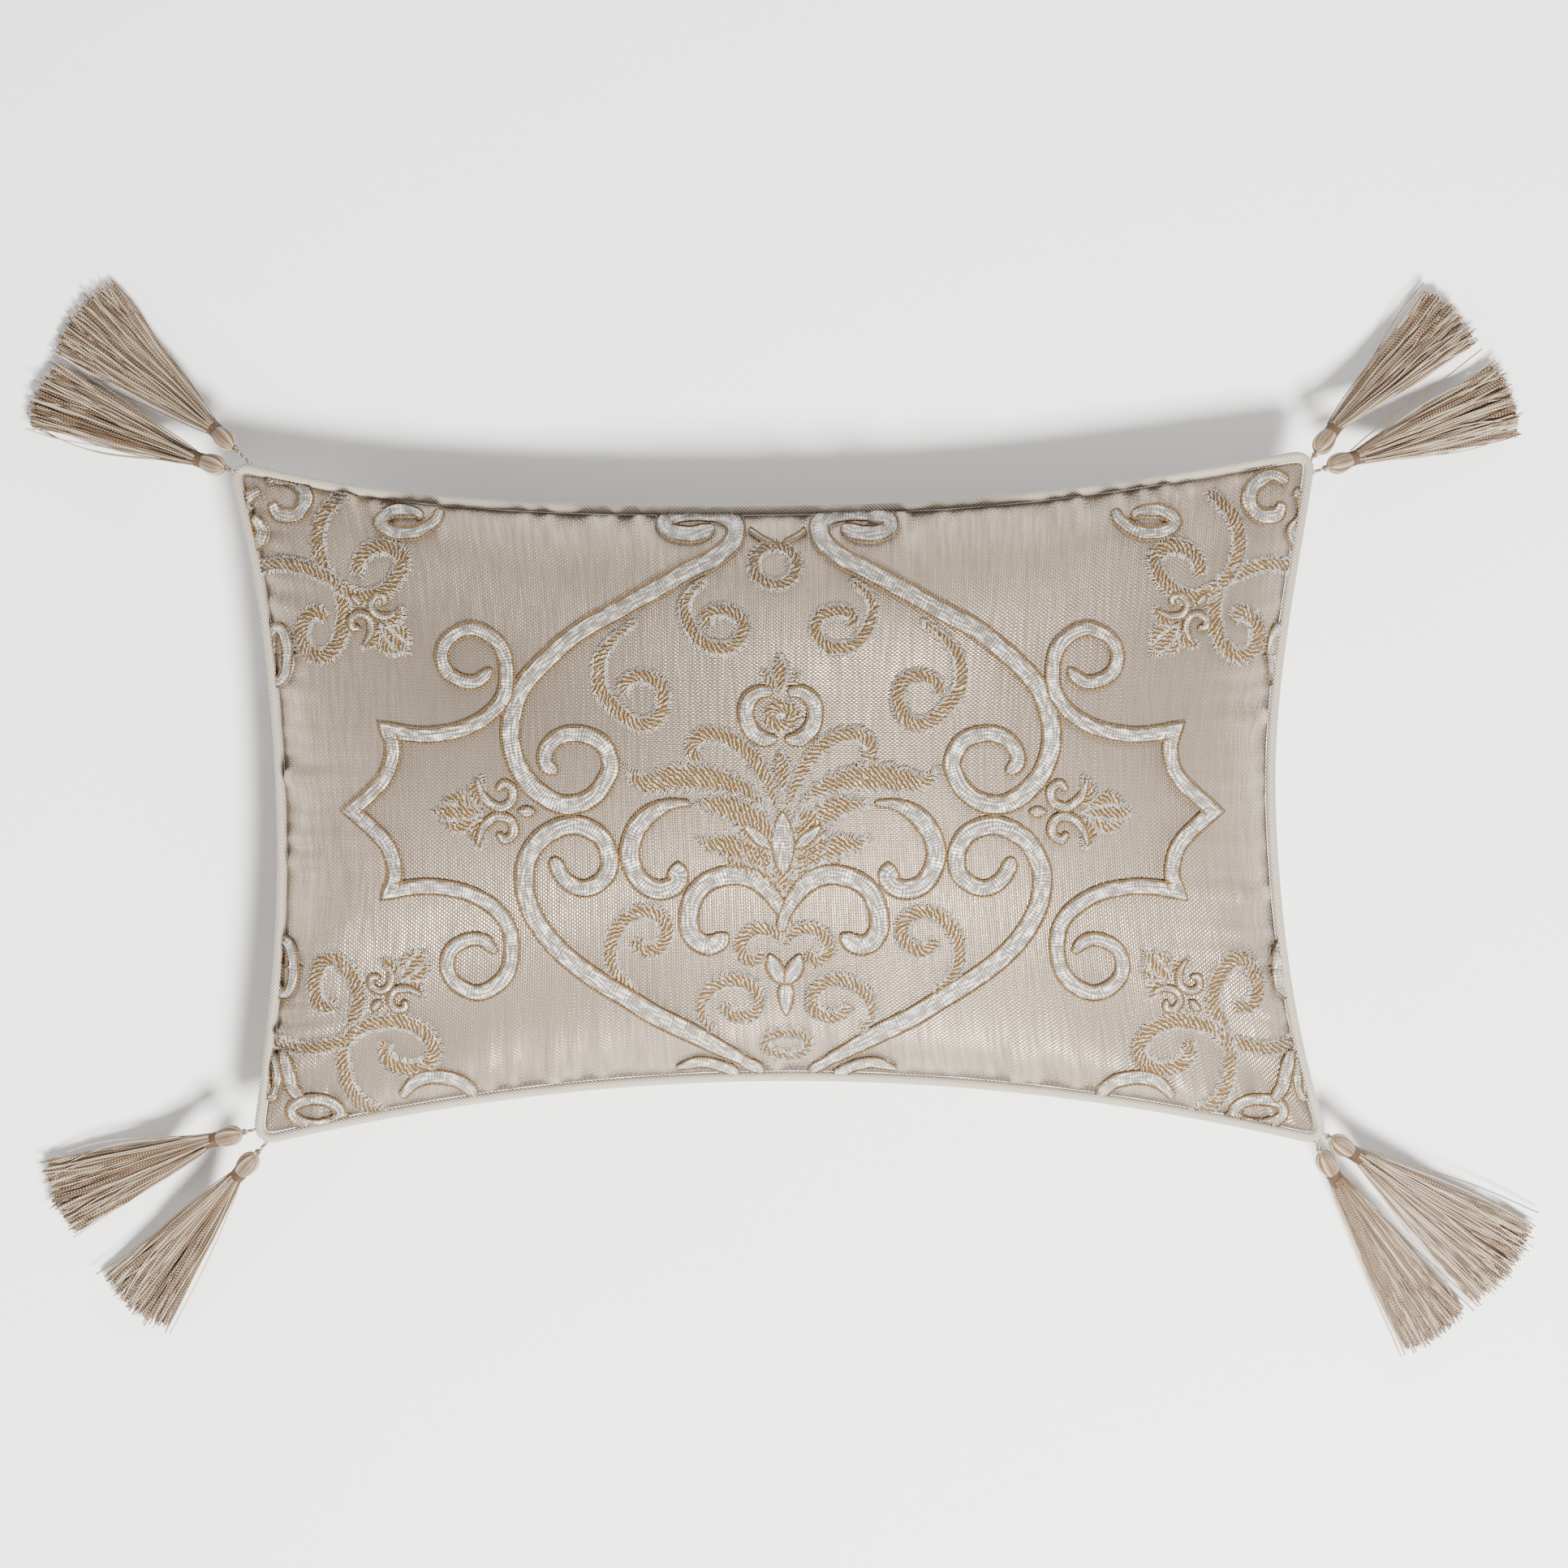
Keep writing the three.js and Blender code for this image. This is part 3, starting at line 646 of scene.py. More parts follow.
def gathers(depth, along, corner, seed):
    """Height of the small gathers beside a seam, from 0 to about 1."""
    rng = np.random.default_rng(seed)
    sharp = np.clip(sum(wave(along, length, rng) for length in GATHER_WAVES) / 2.2, -0.8, 1.3)
    patchy = 0.6 + 0.4 * wave(along, 131, rng)
    rise = (depth / 5.0) * np.exp(1 - depth / 5.0) * 0.7
    tail = 0.45 * (1 - np.exp(-depth / 5)) * np.exp(-depth / 20.0)
    return sharp * patchy * (rise + tail) * np.clip(corner / 30.0, 0, 1)


def slack(depth, along, corner, seed):
    """Height of the broad soft waves in a stuffed cover, in millimetres."""
    rng = np.random.default_rng(seed)
    rim = 0.75 * sum(wave(along, length, rng) for length in SLACK_WAVES)
    rim = rim * (1 - np.exp(-depth / 16)) * np.exp(-depth / 42)
    fold = np.sin((corner - depth) / 13.0 + rng.uniform(0, 6.3))
    fold = fold * np.exp(-((corner + depth - 95) / 50) ** 2)
    return rim + 1.1 * fold * (1 - np.exp(-depth / 14))


def swell(us, vs):
    """Profile of a stuffed panel: 0 all round the seam and 1 in the middle."""
    fall = [1 - np.abs(2 * s - 1) ** 2 for s in (us, vs)]
    return (fall[0][:, None] * fall[1][None]) ** FULLNESS


class PILLOW_OT_front(Operator):
    """Sews the embroidered front panel and swells it with stuffing"""
    bl_idname = "pillow.front"
    bl_label = "Front panel"

    def execute(self, context):
        step = sizes().grid / MM
        us, vs = np.linspace(0, 1, int(LENGTH / step) + 1), np.linspace(0, 1, int(WIDTH / step) + 1)
        plan = panel_plan(us, vs)
        rise = seam_height(plan[..., 0], plan[..., 1]) + 0.4 + FRONT_RISE * swell(us, vs)
        points = np.concatenate([plan, rise[..., None]], axis=2)
        flat = flat_grid(us, vs)
        panel = grid_object("cover_front", points, flat)
        rest = np.concatenate([flat, np.full(flat.shape[:2] + (1,), SEAM_HEIGHT)], axis=2)
        pinned = np.zeros(plan.shape[:2])
        pinned[[0, -1], :] = pinned[:, [0, -1]] = 1.0
        inflate(panel, rest.reshape(-1, 3) * MM, pinned.ravel(), sizes().pressure)
        finer = panel.modifiers.new("Finer", "SUBSURF")
        finer.levels = finer.render_levels = 1
        finer.boundary_smooth = "PRESERVE_CORNERS"
        apply_modifiers(panel)
        self.gather(panel)
        BUILT["front"] = surface_tree(panel)
        thicken(panel, sizes().cloth)
        c = colours()
        dress(panel, cloth_finish("Front cloth", c.cloth, c.slub), node="front_panel")
        return {"FINISHED"}

    def gather(self, panel):
        """Lifts the cloth into gathers beside the seam and soft waves further in."""
        flat = np.zeros(len(panel.data.loops) * 2)
        panel.data.uv_layers[0].data.foreach_get("uv", flat)
        uv = np.zeros((len(panel.data.vertices), 2))
        uv[corner_vertices(panel.data)] = flat.reshape(-1, 2) / MM
        place = (*rim_distance(uv[:, 0] / LENGTH + 0.5, uv[:, 1] / WIDTH + 0.5), SEED)
        lift = gathers(*place) * sizes().pucker + slack(*place) * MM
        moved = coordinates(panel) + vectors(panel.data.vertex_normals, "vector") * lift[:, None]
        panel.data.vertices.foreach_set("co", moved.ravel())
        panel.data.update()


def surface_tree(obj):
    return BVHTree.FromPolygons([tuple(p) for p in coordinates(obj)],
                                [tuple(p.vertices) for p in obj.data.polygons])


def thicken(obj, thickness):
    shell = obj.modifiers.new("Thickness", "SOLIDIFY")
    shell.thickness = thickness
    shell.offset = -1.0
    shell.use_even_offset = True
    return apply_modifiers(obj)


class PILLOW_OT_back(Operator):
    """Sews the plain back panel, flat where it rests, with an opening for the zip"""
    bl_idname = "pillow.back"
    bl_label = "Back panel"

    def execute(self, context):
        step = sizes().grid / MM / 2
        us = np.linspace(0, 1, int(LENGTH / step) + 1)
        inner = np.arange(4.6, WIDTH - 1, step)
        vs = np.append(np.concatenate([ZIP_ROWS, inner]) / WIDTH, 1.0)
        plan = panel_plan(us, vs)
        seam = seam_height(plan[..., 0], plan[..., 1]) - 0.4
        depth, along, corner = rim_distance(*np.meshgrid(us, vs, indexing="ij"))
        calm = np.where(vs[None] < 0.5, 0.35, 1.0)
        puff = gathers(depth, along, corner, SEED + 1) * sizes().pucker / MM * calm
        drop = seam - BACK_DROP * swell(us, vs)
        soft = 2.5
        rest = soft * np.log1p(np.exp(drop / soft))
        points = np.concatenate([plan, rest[..., None]], axis=2)
        points[..., 2] -= np.minimum(puff, rest) * 0.8
        flat = flat_grid(us, vs)
        middle = (plan[:-1, 1, 0] + plan[1:, 1, 0]) / 2
        keep = np.ones((len(us) - 1, len(vs) - 1), bool)
        keep[np.abs(middle - ZIP_MIDDLE) < ZIP_HALF + ZIP_STOP + 1.5, 1] = False
        panel = grid_object("cover_back", points[:, ::-1], flat[:, ::-1], keep[:, ::-1])
        BUILT["back"] = surface_tree(panel)
        thicken(panel, sizes().cloth)
        c = colours()
        dress(panel, cloth_finish("Back cloth", shade(c.cloth, 1.1), c.slub, pit_shade=0.35, slub=0.3),
              node="back_panel")
        return {"FINISHED"}


# ---- Cords and yarns ----
@built_once("Twisted cord")
def cord_tree(name):
    """Sweeps a section of twisted plies along every path of a mesh's edges."""
    tree, inside, out = new_group(
        name, "GeometryNodeTree",
        (("Geometry", "Geometry", None), ("Radius", "Float", 0.001), ("Sides", "Int", 6),
         ("Plies", "Float", 1.0), ("Groove", "Float", 0.0), ("Lead", "Float", 1.0),
         ("Material", "Material", None)),
        (("Geometry", "Geometry"),))

    def made(kind, settings=(), **inputs):
        return value(tree, kind, 0, settings, **inputs)

    def store(geometry, label, number):
        return made("GeometryNodeStoreNamedAttribute", {"data_type": "FLOAT", "domain": "POINT"},
                    Name=label, Geometry=geometry, Value=number)

    along = value(tree, "GeometryNodeSplineParameter", "Length")
    angle = value(tree, "GeometryNodeSplineParameter", "Factor") * (2 * math.pi)
    path = made("GeometryNodeMeshToCurve", Mesh=inside["Geometry"])
    path = made("GeometryNodeSetCurveNormal", {"mode": "Z_UP"}, Curve=path)
    path = made("GeometryNodeSetCurveTilt", Curve=path, Tilt=along / inside["Lead"] * (2 * math.pi))
    path = store(path, "along", along)
    ring = made("GeometryNodeCurvePrimitiveCircle", Resolution=inside["Sides"], Radius=inside["Radius"])
    groove = 1.0 - (angle * (inside["Plies"] * 0.5)).math("COSINE").math("ABSOLUTE")
    ring = store(ring, "groove", groove)
    ring = store(ring, "ply", angle.math("COSINE") * 0.5 + 0.5)
    lobed = add(tree, "ShaderNodeVectorMath", {"operation": "SCALE"},
                Scale=1.0 - groove * inside["Groove"])
    feed(lobed.inputs[0], made("GeometryNodeInputPosition"))
    ring = made("GeometryNodeSetPosition", Geometry=ring, Position=Value(lobed.outputs[0]))
    cord = made("GeometryNodeCurveToMesh", Fill_Caps=True, Curve=path, Profile_Curve=ring)
    cord = made("GeometryNodeRealizeInstances", Geometry=cord)
    feed(out["Geometry"], made("GeometryNodeSetMaterial", Geometry=cord, Material=inside["Material"]))
    return tree


def path_mesh(name, paths, kinds=None, closed=False):
    """A mesh of edges only, one chain for each path in metres, with each chain's kind."""
    points, edges, kind = [], [], []
    for number, path in enumerate(paths):
        start = len(points)
        points.extend(map(tuple, path))
        edges.extend((start + i, start + i + 1) for i in range(len(path) - 1))
        if closed:
            edges.append((start + len(path) - 1, start))
        kind.extend([kinds[number] if kinds is not None else 0.0] * len(path))
    mesh = bpy.data.meshes.new(name)
    mesh.from_pydata(points, edges, [])
    mesh.attributes.new("kind", "FLOAT", "POINT").data.foreach_set("value", np.array(kind, np.float32))
    return placed(name, mesh)


def run_tree(obj, tree, **values):
    """Runs a Geometry Nodes tree on an object and keeps the result as its plain mesh."""
    modifier = obj.modifiers.new(tree.name, "NODES")
    modifier.node_group = tree
    for item in tree.interface.items_tree:
        if item.item_type == "SOCKET" and item.in_out == "INPUT" and item.name in values:
            modifier[item.identifier] = values[item.name]
    apply_modifiers(obj)
    smooth(obj.data)
    return obj


def cords(name, paths, material, radius, sides=6, plies=1, groove=0.0, lead=1.0, kinds=None, closed=False):
    obj = path_mesh(name, paths, kinds, closed)
    return run_tree(obj, cord_tree(), Radius=float(radius), Sides=sides, Plies=float(plies),
                    Groove=float(groove), Lead=float(lead), Material=material)


def offset_outline(distance, count=None):
    """The seam moved outwards by a distance, evenly sampled, in plan."""
    ring = np.concatenate([side_curve(k, 400)[:-1] for k in range(4)])
    along = np.roll(ring, -1, axis=0) - np.roll(ring, 1, axis=0)
    along /= np.linalg.norm(along, axis=1)[:, None]
    moved = ring + distance * np.stack([along[:, 1], -along[:, 0]], axis=1)
    if count is None:
        return moved
    return resample(np.concatenate([moved, moved[:1]]), count + 1)[:-1]


class PILLOW_OT_piping(Operator):
    """Lays the twisted piping round the seam"""
    bl_idname = "pillow.piping"
    bl_label = "Piping"

    def execute(self, context):
        s, c = sizes(), colours()
        ring = offset_outline(s.piping / MM + GAP)
        length = steps(np.concatenate([ring, ring[:1]])).sum()
        plies = 8
        lead = length / round(length / (s.piping_lead / MM) * plies) * plies
        ring = offset_outline(s.piping / MM + GAP, int(length / 0.85))
        path = np.concatenate([ring, seam_height(ring[:, 0], ring[:, 1])[:, None]], axis=1) * MM
        finish = ply_finish("Piping cord", c.cream, shade(c.cream, 0.9), groove_shade=0.95, two_tone=0.0)
        cord = cords("piping", [path], finish, s.piping, 32, plies, 0.24, lead * MM, closed=True)
        dress(cord, finish, node="piping_cord")
        return {"FINISHED"}


# ---- Tassels ----
def square_to(axis):
    """Two directions square to an axis and to each other, the first of them level."""
    side = np.cross(axis, [0, 0, 1.0])
    side /= np.linalg.norm(side)
    return side, np.cross(side, axis)


def turned(name, foot, axis, length, radius_at, rows, around):
    """A closed body round an axis. radius_at gives its radius for arrays of share along and angle."""
    axis = axis / np.linalg.norm(axis)
    side, upper = square_to(axis)
    share, angle = np.linspace(0, 1, rows), np.linspace(0, 2 * np.pi, around, endpoint=False)
    s, a = np.meshgrid(share, angle, indexing="ij")
    r = radius_at(s, a)
    points = (foot + axis * (s * length)[..., None]
              + (np.cos(a) * r)[..., None] * side + (np.sin(a) * r)[..., None] * upper)
    points = np.concatenate([points.reshape(-1, 3), [foot], [foot + axis * length]])
    index = numbered(rows, around)
    index = np.concatenate([index, index[:, :1]], axis=1)
    low, high = rows * around, rows * around + 1
    faces = quads(index).tolist()
    faces += [(low, a, b) for a, b in zip(index[0], index[0, 1:])]
    faces += [(high, b, a) for a, b in zip(index[-1], index[-1, 1:])]
    uv = np.concatenate([np.stack([s * length, a], axis=-1).reshape(-1, 2), [[0, 0]], [[length, 0]]])
    return mesh_object(name, points * MM, faces, uv)


def tassel_places():
    """Each tassel's start, knot and axis, from the frame's joints, in millimetres."""
    where = {j["name"]: np.array(j["pos_m"]) / MM for j in frame["joints"]}
    places = []
    for k in range(1, len(SKIRTS) + 1):
        start, knot = where[f"hanger_{k}_swing"], where[f"tassel_{k}_lift"]
        places.append((start, knot, (knot - start) / np.linalg.norm(knot - start)))
    return places


class PILLOW_OT_hangers(Operator):
    """Twists the short cord and ties the knot that each tassel hangs from"""
    bl_idname = "pillow.hangers"
    bl_label = "Tassel cords"

    def execute(self, context):
        c = colours()
        finish = ply_finish("Tassel cord", c.strand, c.brown, groove_shade=0.6)
        for number, (start, knot, axis) in enumerate(tassel_places(), 1):
            side, upper = square_to(axis)
            straight = np.linspace(start - axis * 1.2, knot - axis * 0.6, 14)
            t = np.linspace(0, 2 * np.pi, 49)[:-1]
            wide = (0.55 + 0.45 * (0.62 + 0.38 * np.cos(3 * t))) * 1.15
            loop = (knot + np.outer(np.cos(2 * t) * wide, side) + np.outer(np.sin(2 * t) * wide, upper)
                    + np.outer(np.sin(3 * t) * 0.62, axis))
            cord = cords(f"tassel_cord_{number}", [straight * MM], finish, 0.00098, 12, 2, 0.42, 0.0046)
            tied = cords("knot", [loop * MM], finish, 0.0007, 8, 2, 0.3, 0.0034, closed=True)
            join(cord, tied)
            dress(cord, finish, f"hanger_{number}", f"tassel_{number}_cord")
        return {"FINISHED"}


def join(obj, *others):
    """Adds other objects' meshes to one object."""
    merged = bmesh.new()
    merged.from_mesh(obj.data)
    for other in others:
        merged.from_mesh(other.data)
        bpy.data.objects.remove(other)
    merged.to_mesh(obj.data)
    merged.free()
    smooth(obj.data)
    return obj


def head_radius(share, angle):
    dome = np.where(share < 0.5, np.sqrt(np.clip(1 - (1 - 2 * share) ** 2, 0, 1)), 1.0)
    waist = np.clip((share - 0.5) * 2, 0, 1)
    body = HEAD_RADIUS * dome * (1 - waist ** 2) + (BAND_RADIUS - 0.3) * waist ** 2
    rib = np.abs(np.sin(angle * HEAD_RIBS + share * 0.9))
    return body * (0.93 + 0.08 * rib ** 0.7)


def band_radius(share, angle):
    wraps = np.abs(np.sin(np.pi * (share * 15 + angle / (2 * np.pi))))
    return BAND_RADIUS - 0.32 * np.sin(np.pi * share) * 0.6 - 0.28 + 0.3 * wraps ** 0.6


class PILLOW_OT_heads(Operator):
    """Makes each tassel's ribbed head and wrapped neck"""
    bl_idname = "pillow.heads"
    bl_label = "Tassel heads"

    def execute(self, context):
        c = colours()
        yarn = head_finish("Head yarn", c.strand, c.brown)
        wrap = satin_finish("Neck wrap", shade(c.wrap, 1.5), shade(c.wrap, 0.8), pitch=0.00053, shade_streaks=0.3,
                            metallic=0.25)
        for number, (_, knot, axis) in enumerate(tassel_places(), 1):
            foot = knot + axis * (KNOT_RADIUS + GAP)
            head = turned(f"tassel_head_{number}", foot, axis, HEAD_LENGTH, head_radius, 26, 120)
            dress(head, yarn, f"tassel_{number}", f"tassel_{number}_head")
            foot = foot + axis * (HEAD_LENGTH + GAP)
            band = turned(f"tassel_band_{number}", foot, axis, BAND_LENGTH, band_radius, 76, 40)
            dress(band, wrap, f"tassel_{number}", f"tassel_{number}_band")
        return {"FINISHED"}


class PILLOW_OT_skirts(Operator):
    """Hangs each tassel's skirt of loose yarns, which fan out where they lie down"""
    bl_idname = "pillow.skirts"
    bl_label = "Tassel skirts"

    def execute(self, context):
        s, c = sizes(), colours()
        finish = yarn_finish("Skirt yarn", c.strand, c.brown)
        for number, (place, skirt) in enumerate(zip(tassel_places(), SKIRTS), 1):
            paths, kinds = self.yarns(place, skirt, s.yarns, np.random.default_rng(SEED * 100 + number))
            yarns = cords(f"tassel_skirt_{number}", paths, finish, s.yarn, 5, kinds=kinds)
            dress(yarns, finish, f"tassel_{number}", f"tassel_{number}_skirt")
        return {"FINISHED"}

    def yarns(self, place, skirt, count, rng):
        _, knot, axis = place
        run = KNOT_RADIUS + HEAD_LENGTH + BAND_LENGTH + 3 * GAP
        mouth = knot + axis * run
        low, high, reach = math.radians(skirt[0]), math.radians(skirt[1]), skirt[2]
        middle, half = (low + high) / 2, (high - low) / 2
        offset = BAND_RADIUS / math.sin(half)
        apex = mouth[:2] - offset * np.array([math.cos(middle), math.sin(middle)])
        slope = math.tan(math.asin(-axis[2]))
        radius = sizes().yarn / MM
        ground = radius + 0.12
        paths, kinds = [], []
        locks = np.linspace(-0.96, 0.96, LOCKS) + rng.normal(0, 0.025, LOCKS)
        heights = rng.uniform(-0.8, 0.8, LOCKS)
        for k in range(count):
            lock = k % LOCKS
            across = float(np.clip(locks[lock] + rng.normal(0, 0.42 / LOCKS), -1, 1))
            lift = np.clip(heights[lock] + rng.normal(0, 0.45), -1, 1) * math.sqrt(1 - 0.9 * across ** 2)
            stray = 1.0 if rng.random() < 0.95 else rng.uniform(1.1, 1.6)
            spread = half * across * stray
            end = reach * (1 - 0.03 * across ** 2) + rng.normal(0, 1.2) + (3 if stray > 1 else 0)
            s = np.concatenate([[-4.0, -1.5], np.linspace(1.0, end, 14)])
            out = np.clip(s, 0, None)
            share = np.clip(s / reach, 0, 1)
            settled = np.exp(-out * slope / (mouth[2] - 3.0))
            centre = 2.8 + (mouth[2] - 2.8) * settled - np.where(s < 0, s * slope, 0)
            thick = 2.6 + (BAND_RADIUS - 0.6 - 2.6) * np.exp(-out / 26)
            sway = rng.uniform(0.3, 1.7) * np.sin(s / rng.uniform(8, 17) + rng.uniform(0, 6.3)) * share
            loose = 0.2 if rng.random() < 0.16 else 0.04
            cross = rng.normal(0, loose) * half * np.sin(np.pi * share)
            narrow = np.clip((s + 4) / 9, 0, 1)
            angle = middle + spread * (0.86 + 0.14 * narrow) + cross + sway / (offset + np.clip(s, 5, None))
            height = centre + lift * thick + 0.5 * np.sin(s / rng.uniform(6, 14) + 6.3 * across) * share
            lean = lift * thick * slope * np.exp(-out / 12)
            r = offset + s + lean
            x, y = apex[0] + r * np.cos(angle), apex[1] + r * np.sin(angle)
            paths.append(np.stack([x, y, np.maximum(height, ground)], axis=1) * MM)
            kinds.append(rng.uniform(0, 0.2) if loose > 0.1 else rng.random())
        return paths, np.array(kinds)


# ---- Embroidery ----
def spline(points, step=0.8, closed=False):
    """A smooth path through points, resampled at even steps."""
    p = np.asarray(points, float)
    if closed:
        p = np.concatenate([p[-1:], p, p[:2]])
    else:
        p = np.concatenate([2 * p[:1] - p[1:2], p, 2 * p[-1:] - p[-2:-1]])
    pieces = []
    for i in range(1, len(p) - 2):
        t = np.linspace(0, 1, 16, endpoint=False)[:, None]
        a, b, c, d = p[i - 1], p[i], p[i + 1], p[i + 2]
        pieces.append(0.5 * (2 * b + (c - a) * t + (2 * a - 5 * b + 4 * c - d) * t ** 2
                             + (3 * b - a - 3 * c + d) * t ** 3))
    pieces.append(p[-2:-1])
    path = np.concatenate(pieces)
    return resample(path, max(8, int(steps(path).sum() / step)))


def oval(centre, rx, ry, turn=0.0):
    a = np.linspace(0, 2 * np.pi, 20, endpoint=False)
    e = np.stack([rx * np.cos(a), ry * np.sin(a)], axis=1)
    return np.array(centre) + rotated(e, turn)


def rotated(points, degrees):
    c, s = math.cos(math.radians(degrees)), math.sin(math.radians(degrees))
    return np.asarray(points, float) @ np.array([[c, s], [-s, c]])


def flip(points, x=False, y=False):
    p = np.array(points, float)
    if x:
        p[:, 0] = 2 * MIRROR_X - p[:, 0]
    if y:
        p[:, 1] = 2 * MIRROR_Y - p[:, 1]
    return p


class Design:
    """The scrollwork in plan, in millimetres: strokes of (style, width, ends, path, closed).

    Style "satin" has a tan outline, and "twill" has short pale stitches over its edges. ends is the
    share of the width left at each end, or the share of the way along at which a leaf is widest."""

    def __init__(self):
        self.strokes = []

    def add(self, style, width, path, ends=(0.5, 0.5), closed=False, x=True, y=False):
        for fx in ((False, True) if x else (False,)):
            for fy in ((False, True) if y else (False,)):
                moved = flip(path, fx, fy)
                moved[:, 0] += SHEAR * moved[:, 1]
                self.strokes.append((style, width, ends, moved, closed))

    def scroll(self, style, width, points, ends=(0.5, 0.5), x=True, y=False):
        self.add(style, width, spline(points), ends, x=x, y=y)

    def leaf(self, style, width, points, widest=0.5, x=True, y=False):
        self.add(style, width, spline(points), widest, x=x, y=y)

    def ring(self, style, width, centre, rx, ry, x=True, y=False, turn=0.0):
        self.add(style, width, spline(oval(centre, rx, ry, turn), closed=True), closed=True, x=x, y=y)

    def fleur(self, centre, degrees, scale, **where):
        """A lily: crown, two curls and a bead on its stem. It points the given way."""
        def put(points):
            return np.array(centre) + rotated(np.array(points, float) * scale, degrees)
        for side in (1, -1):
            for width, widest, petal in ((8.5, 0.45, [(6, 3 * side), (9, 10 * side), (6, 19 * side)]),
                                         (8.0, 0.5, [(8, 2 * side), (18, 7 * side), (27, 4.5 * side)])):
                self.leaf("twill", width * scale, put(petal), widest, **where)
        self.leaf("twill", 11 * scale, put([(4, 0), (16, 0), (31, 0)]), 0.55, **where)
        for side in (1, -1):
            curl = [(8, 17), (5, 8), (-2, 2.5), (-9, 4.5), (-10.5, 11), (-6, 14.5), (-2.5, 11)]
            self.scroll("satin", 4.2 * scale, put([(a, b * side) for a, b in curl]), (0.5, 0.7), **where)
        self.leaf("satin", 5 * scale, put([(-13, 0), (-22, 0)]), 0.5, **where)


CURL = [(-115, 13), (-120.5, 18), (-119.5, 25.5), (-113, 31.5), (-103, 33), (-92, 28.5), (-87, 18),
    (-90, 8.5), (-96, 1), (-104.5, -3), (-114, -3), (-124.5, 3), (-132.5, 12), (-137, 22.5), (-138.5, 33),
    (-137, 43.5), (-132.5, 56), (-122.5, 68)]
SHOULDER = [(-103, 85), (-84, 95.5), (-65, 106), (-46, 116.5), (-32, 123.5), (-22.5, 132), (-21, 140.5),
    (-27, 145.5), (-38.5, 147), (-50, 146), (-57.5, 142), (-54, 137), (-43, 135.5), (-32, 139)]
LOWER_CURL = [(-117.4, -30.7), (-112.7, -40.3), (-104.9, -45.9), (-96.9, -45.1), (-89.6, -38.7),
    (-88.6, -29.1), (-92.4, -20.3), (-99.6, -15.5), (-107.5, -13.9), (-116.3, -16.3), (-124.5, -21.9),
    (-130.2, -30.7), (-132.4, -40.3), (-131.3, -51.5), (-126.8, -62.7), (-118.2, -74.7), (-107.1, -85.1),
    (-93.7, -94.6), (-80.2, -102.7), (-66, -111.4), (-44.7, -121.8), (-11.2, -139.6)]
BRACKET = [(-147.5, 66), (-154.5, 60), (-162.5, 60), (-170.5, 65), (-173, 74), (-169, 82), (-158.5, 87),
    (-148.5, 83.5), (-141.5, 75.5), (-139.5, 63.5), (-141.5, 52), (-149.5, 42.5), (-162.5, 35.5),
    (-178.5, 32.5), (-190.5, 33), (-201.5, 35)]
POINT = [(-201.5, 35), (-199, 27), (-200, 18), (-203.5, 10), (-211, 2), (-220.5, -6.5)]


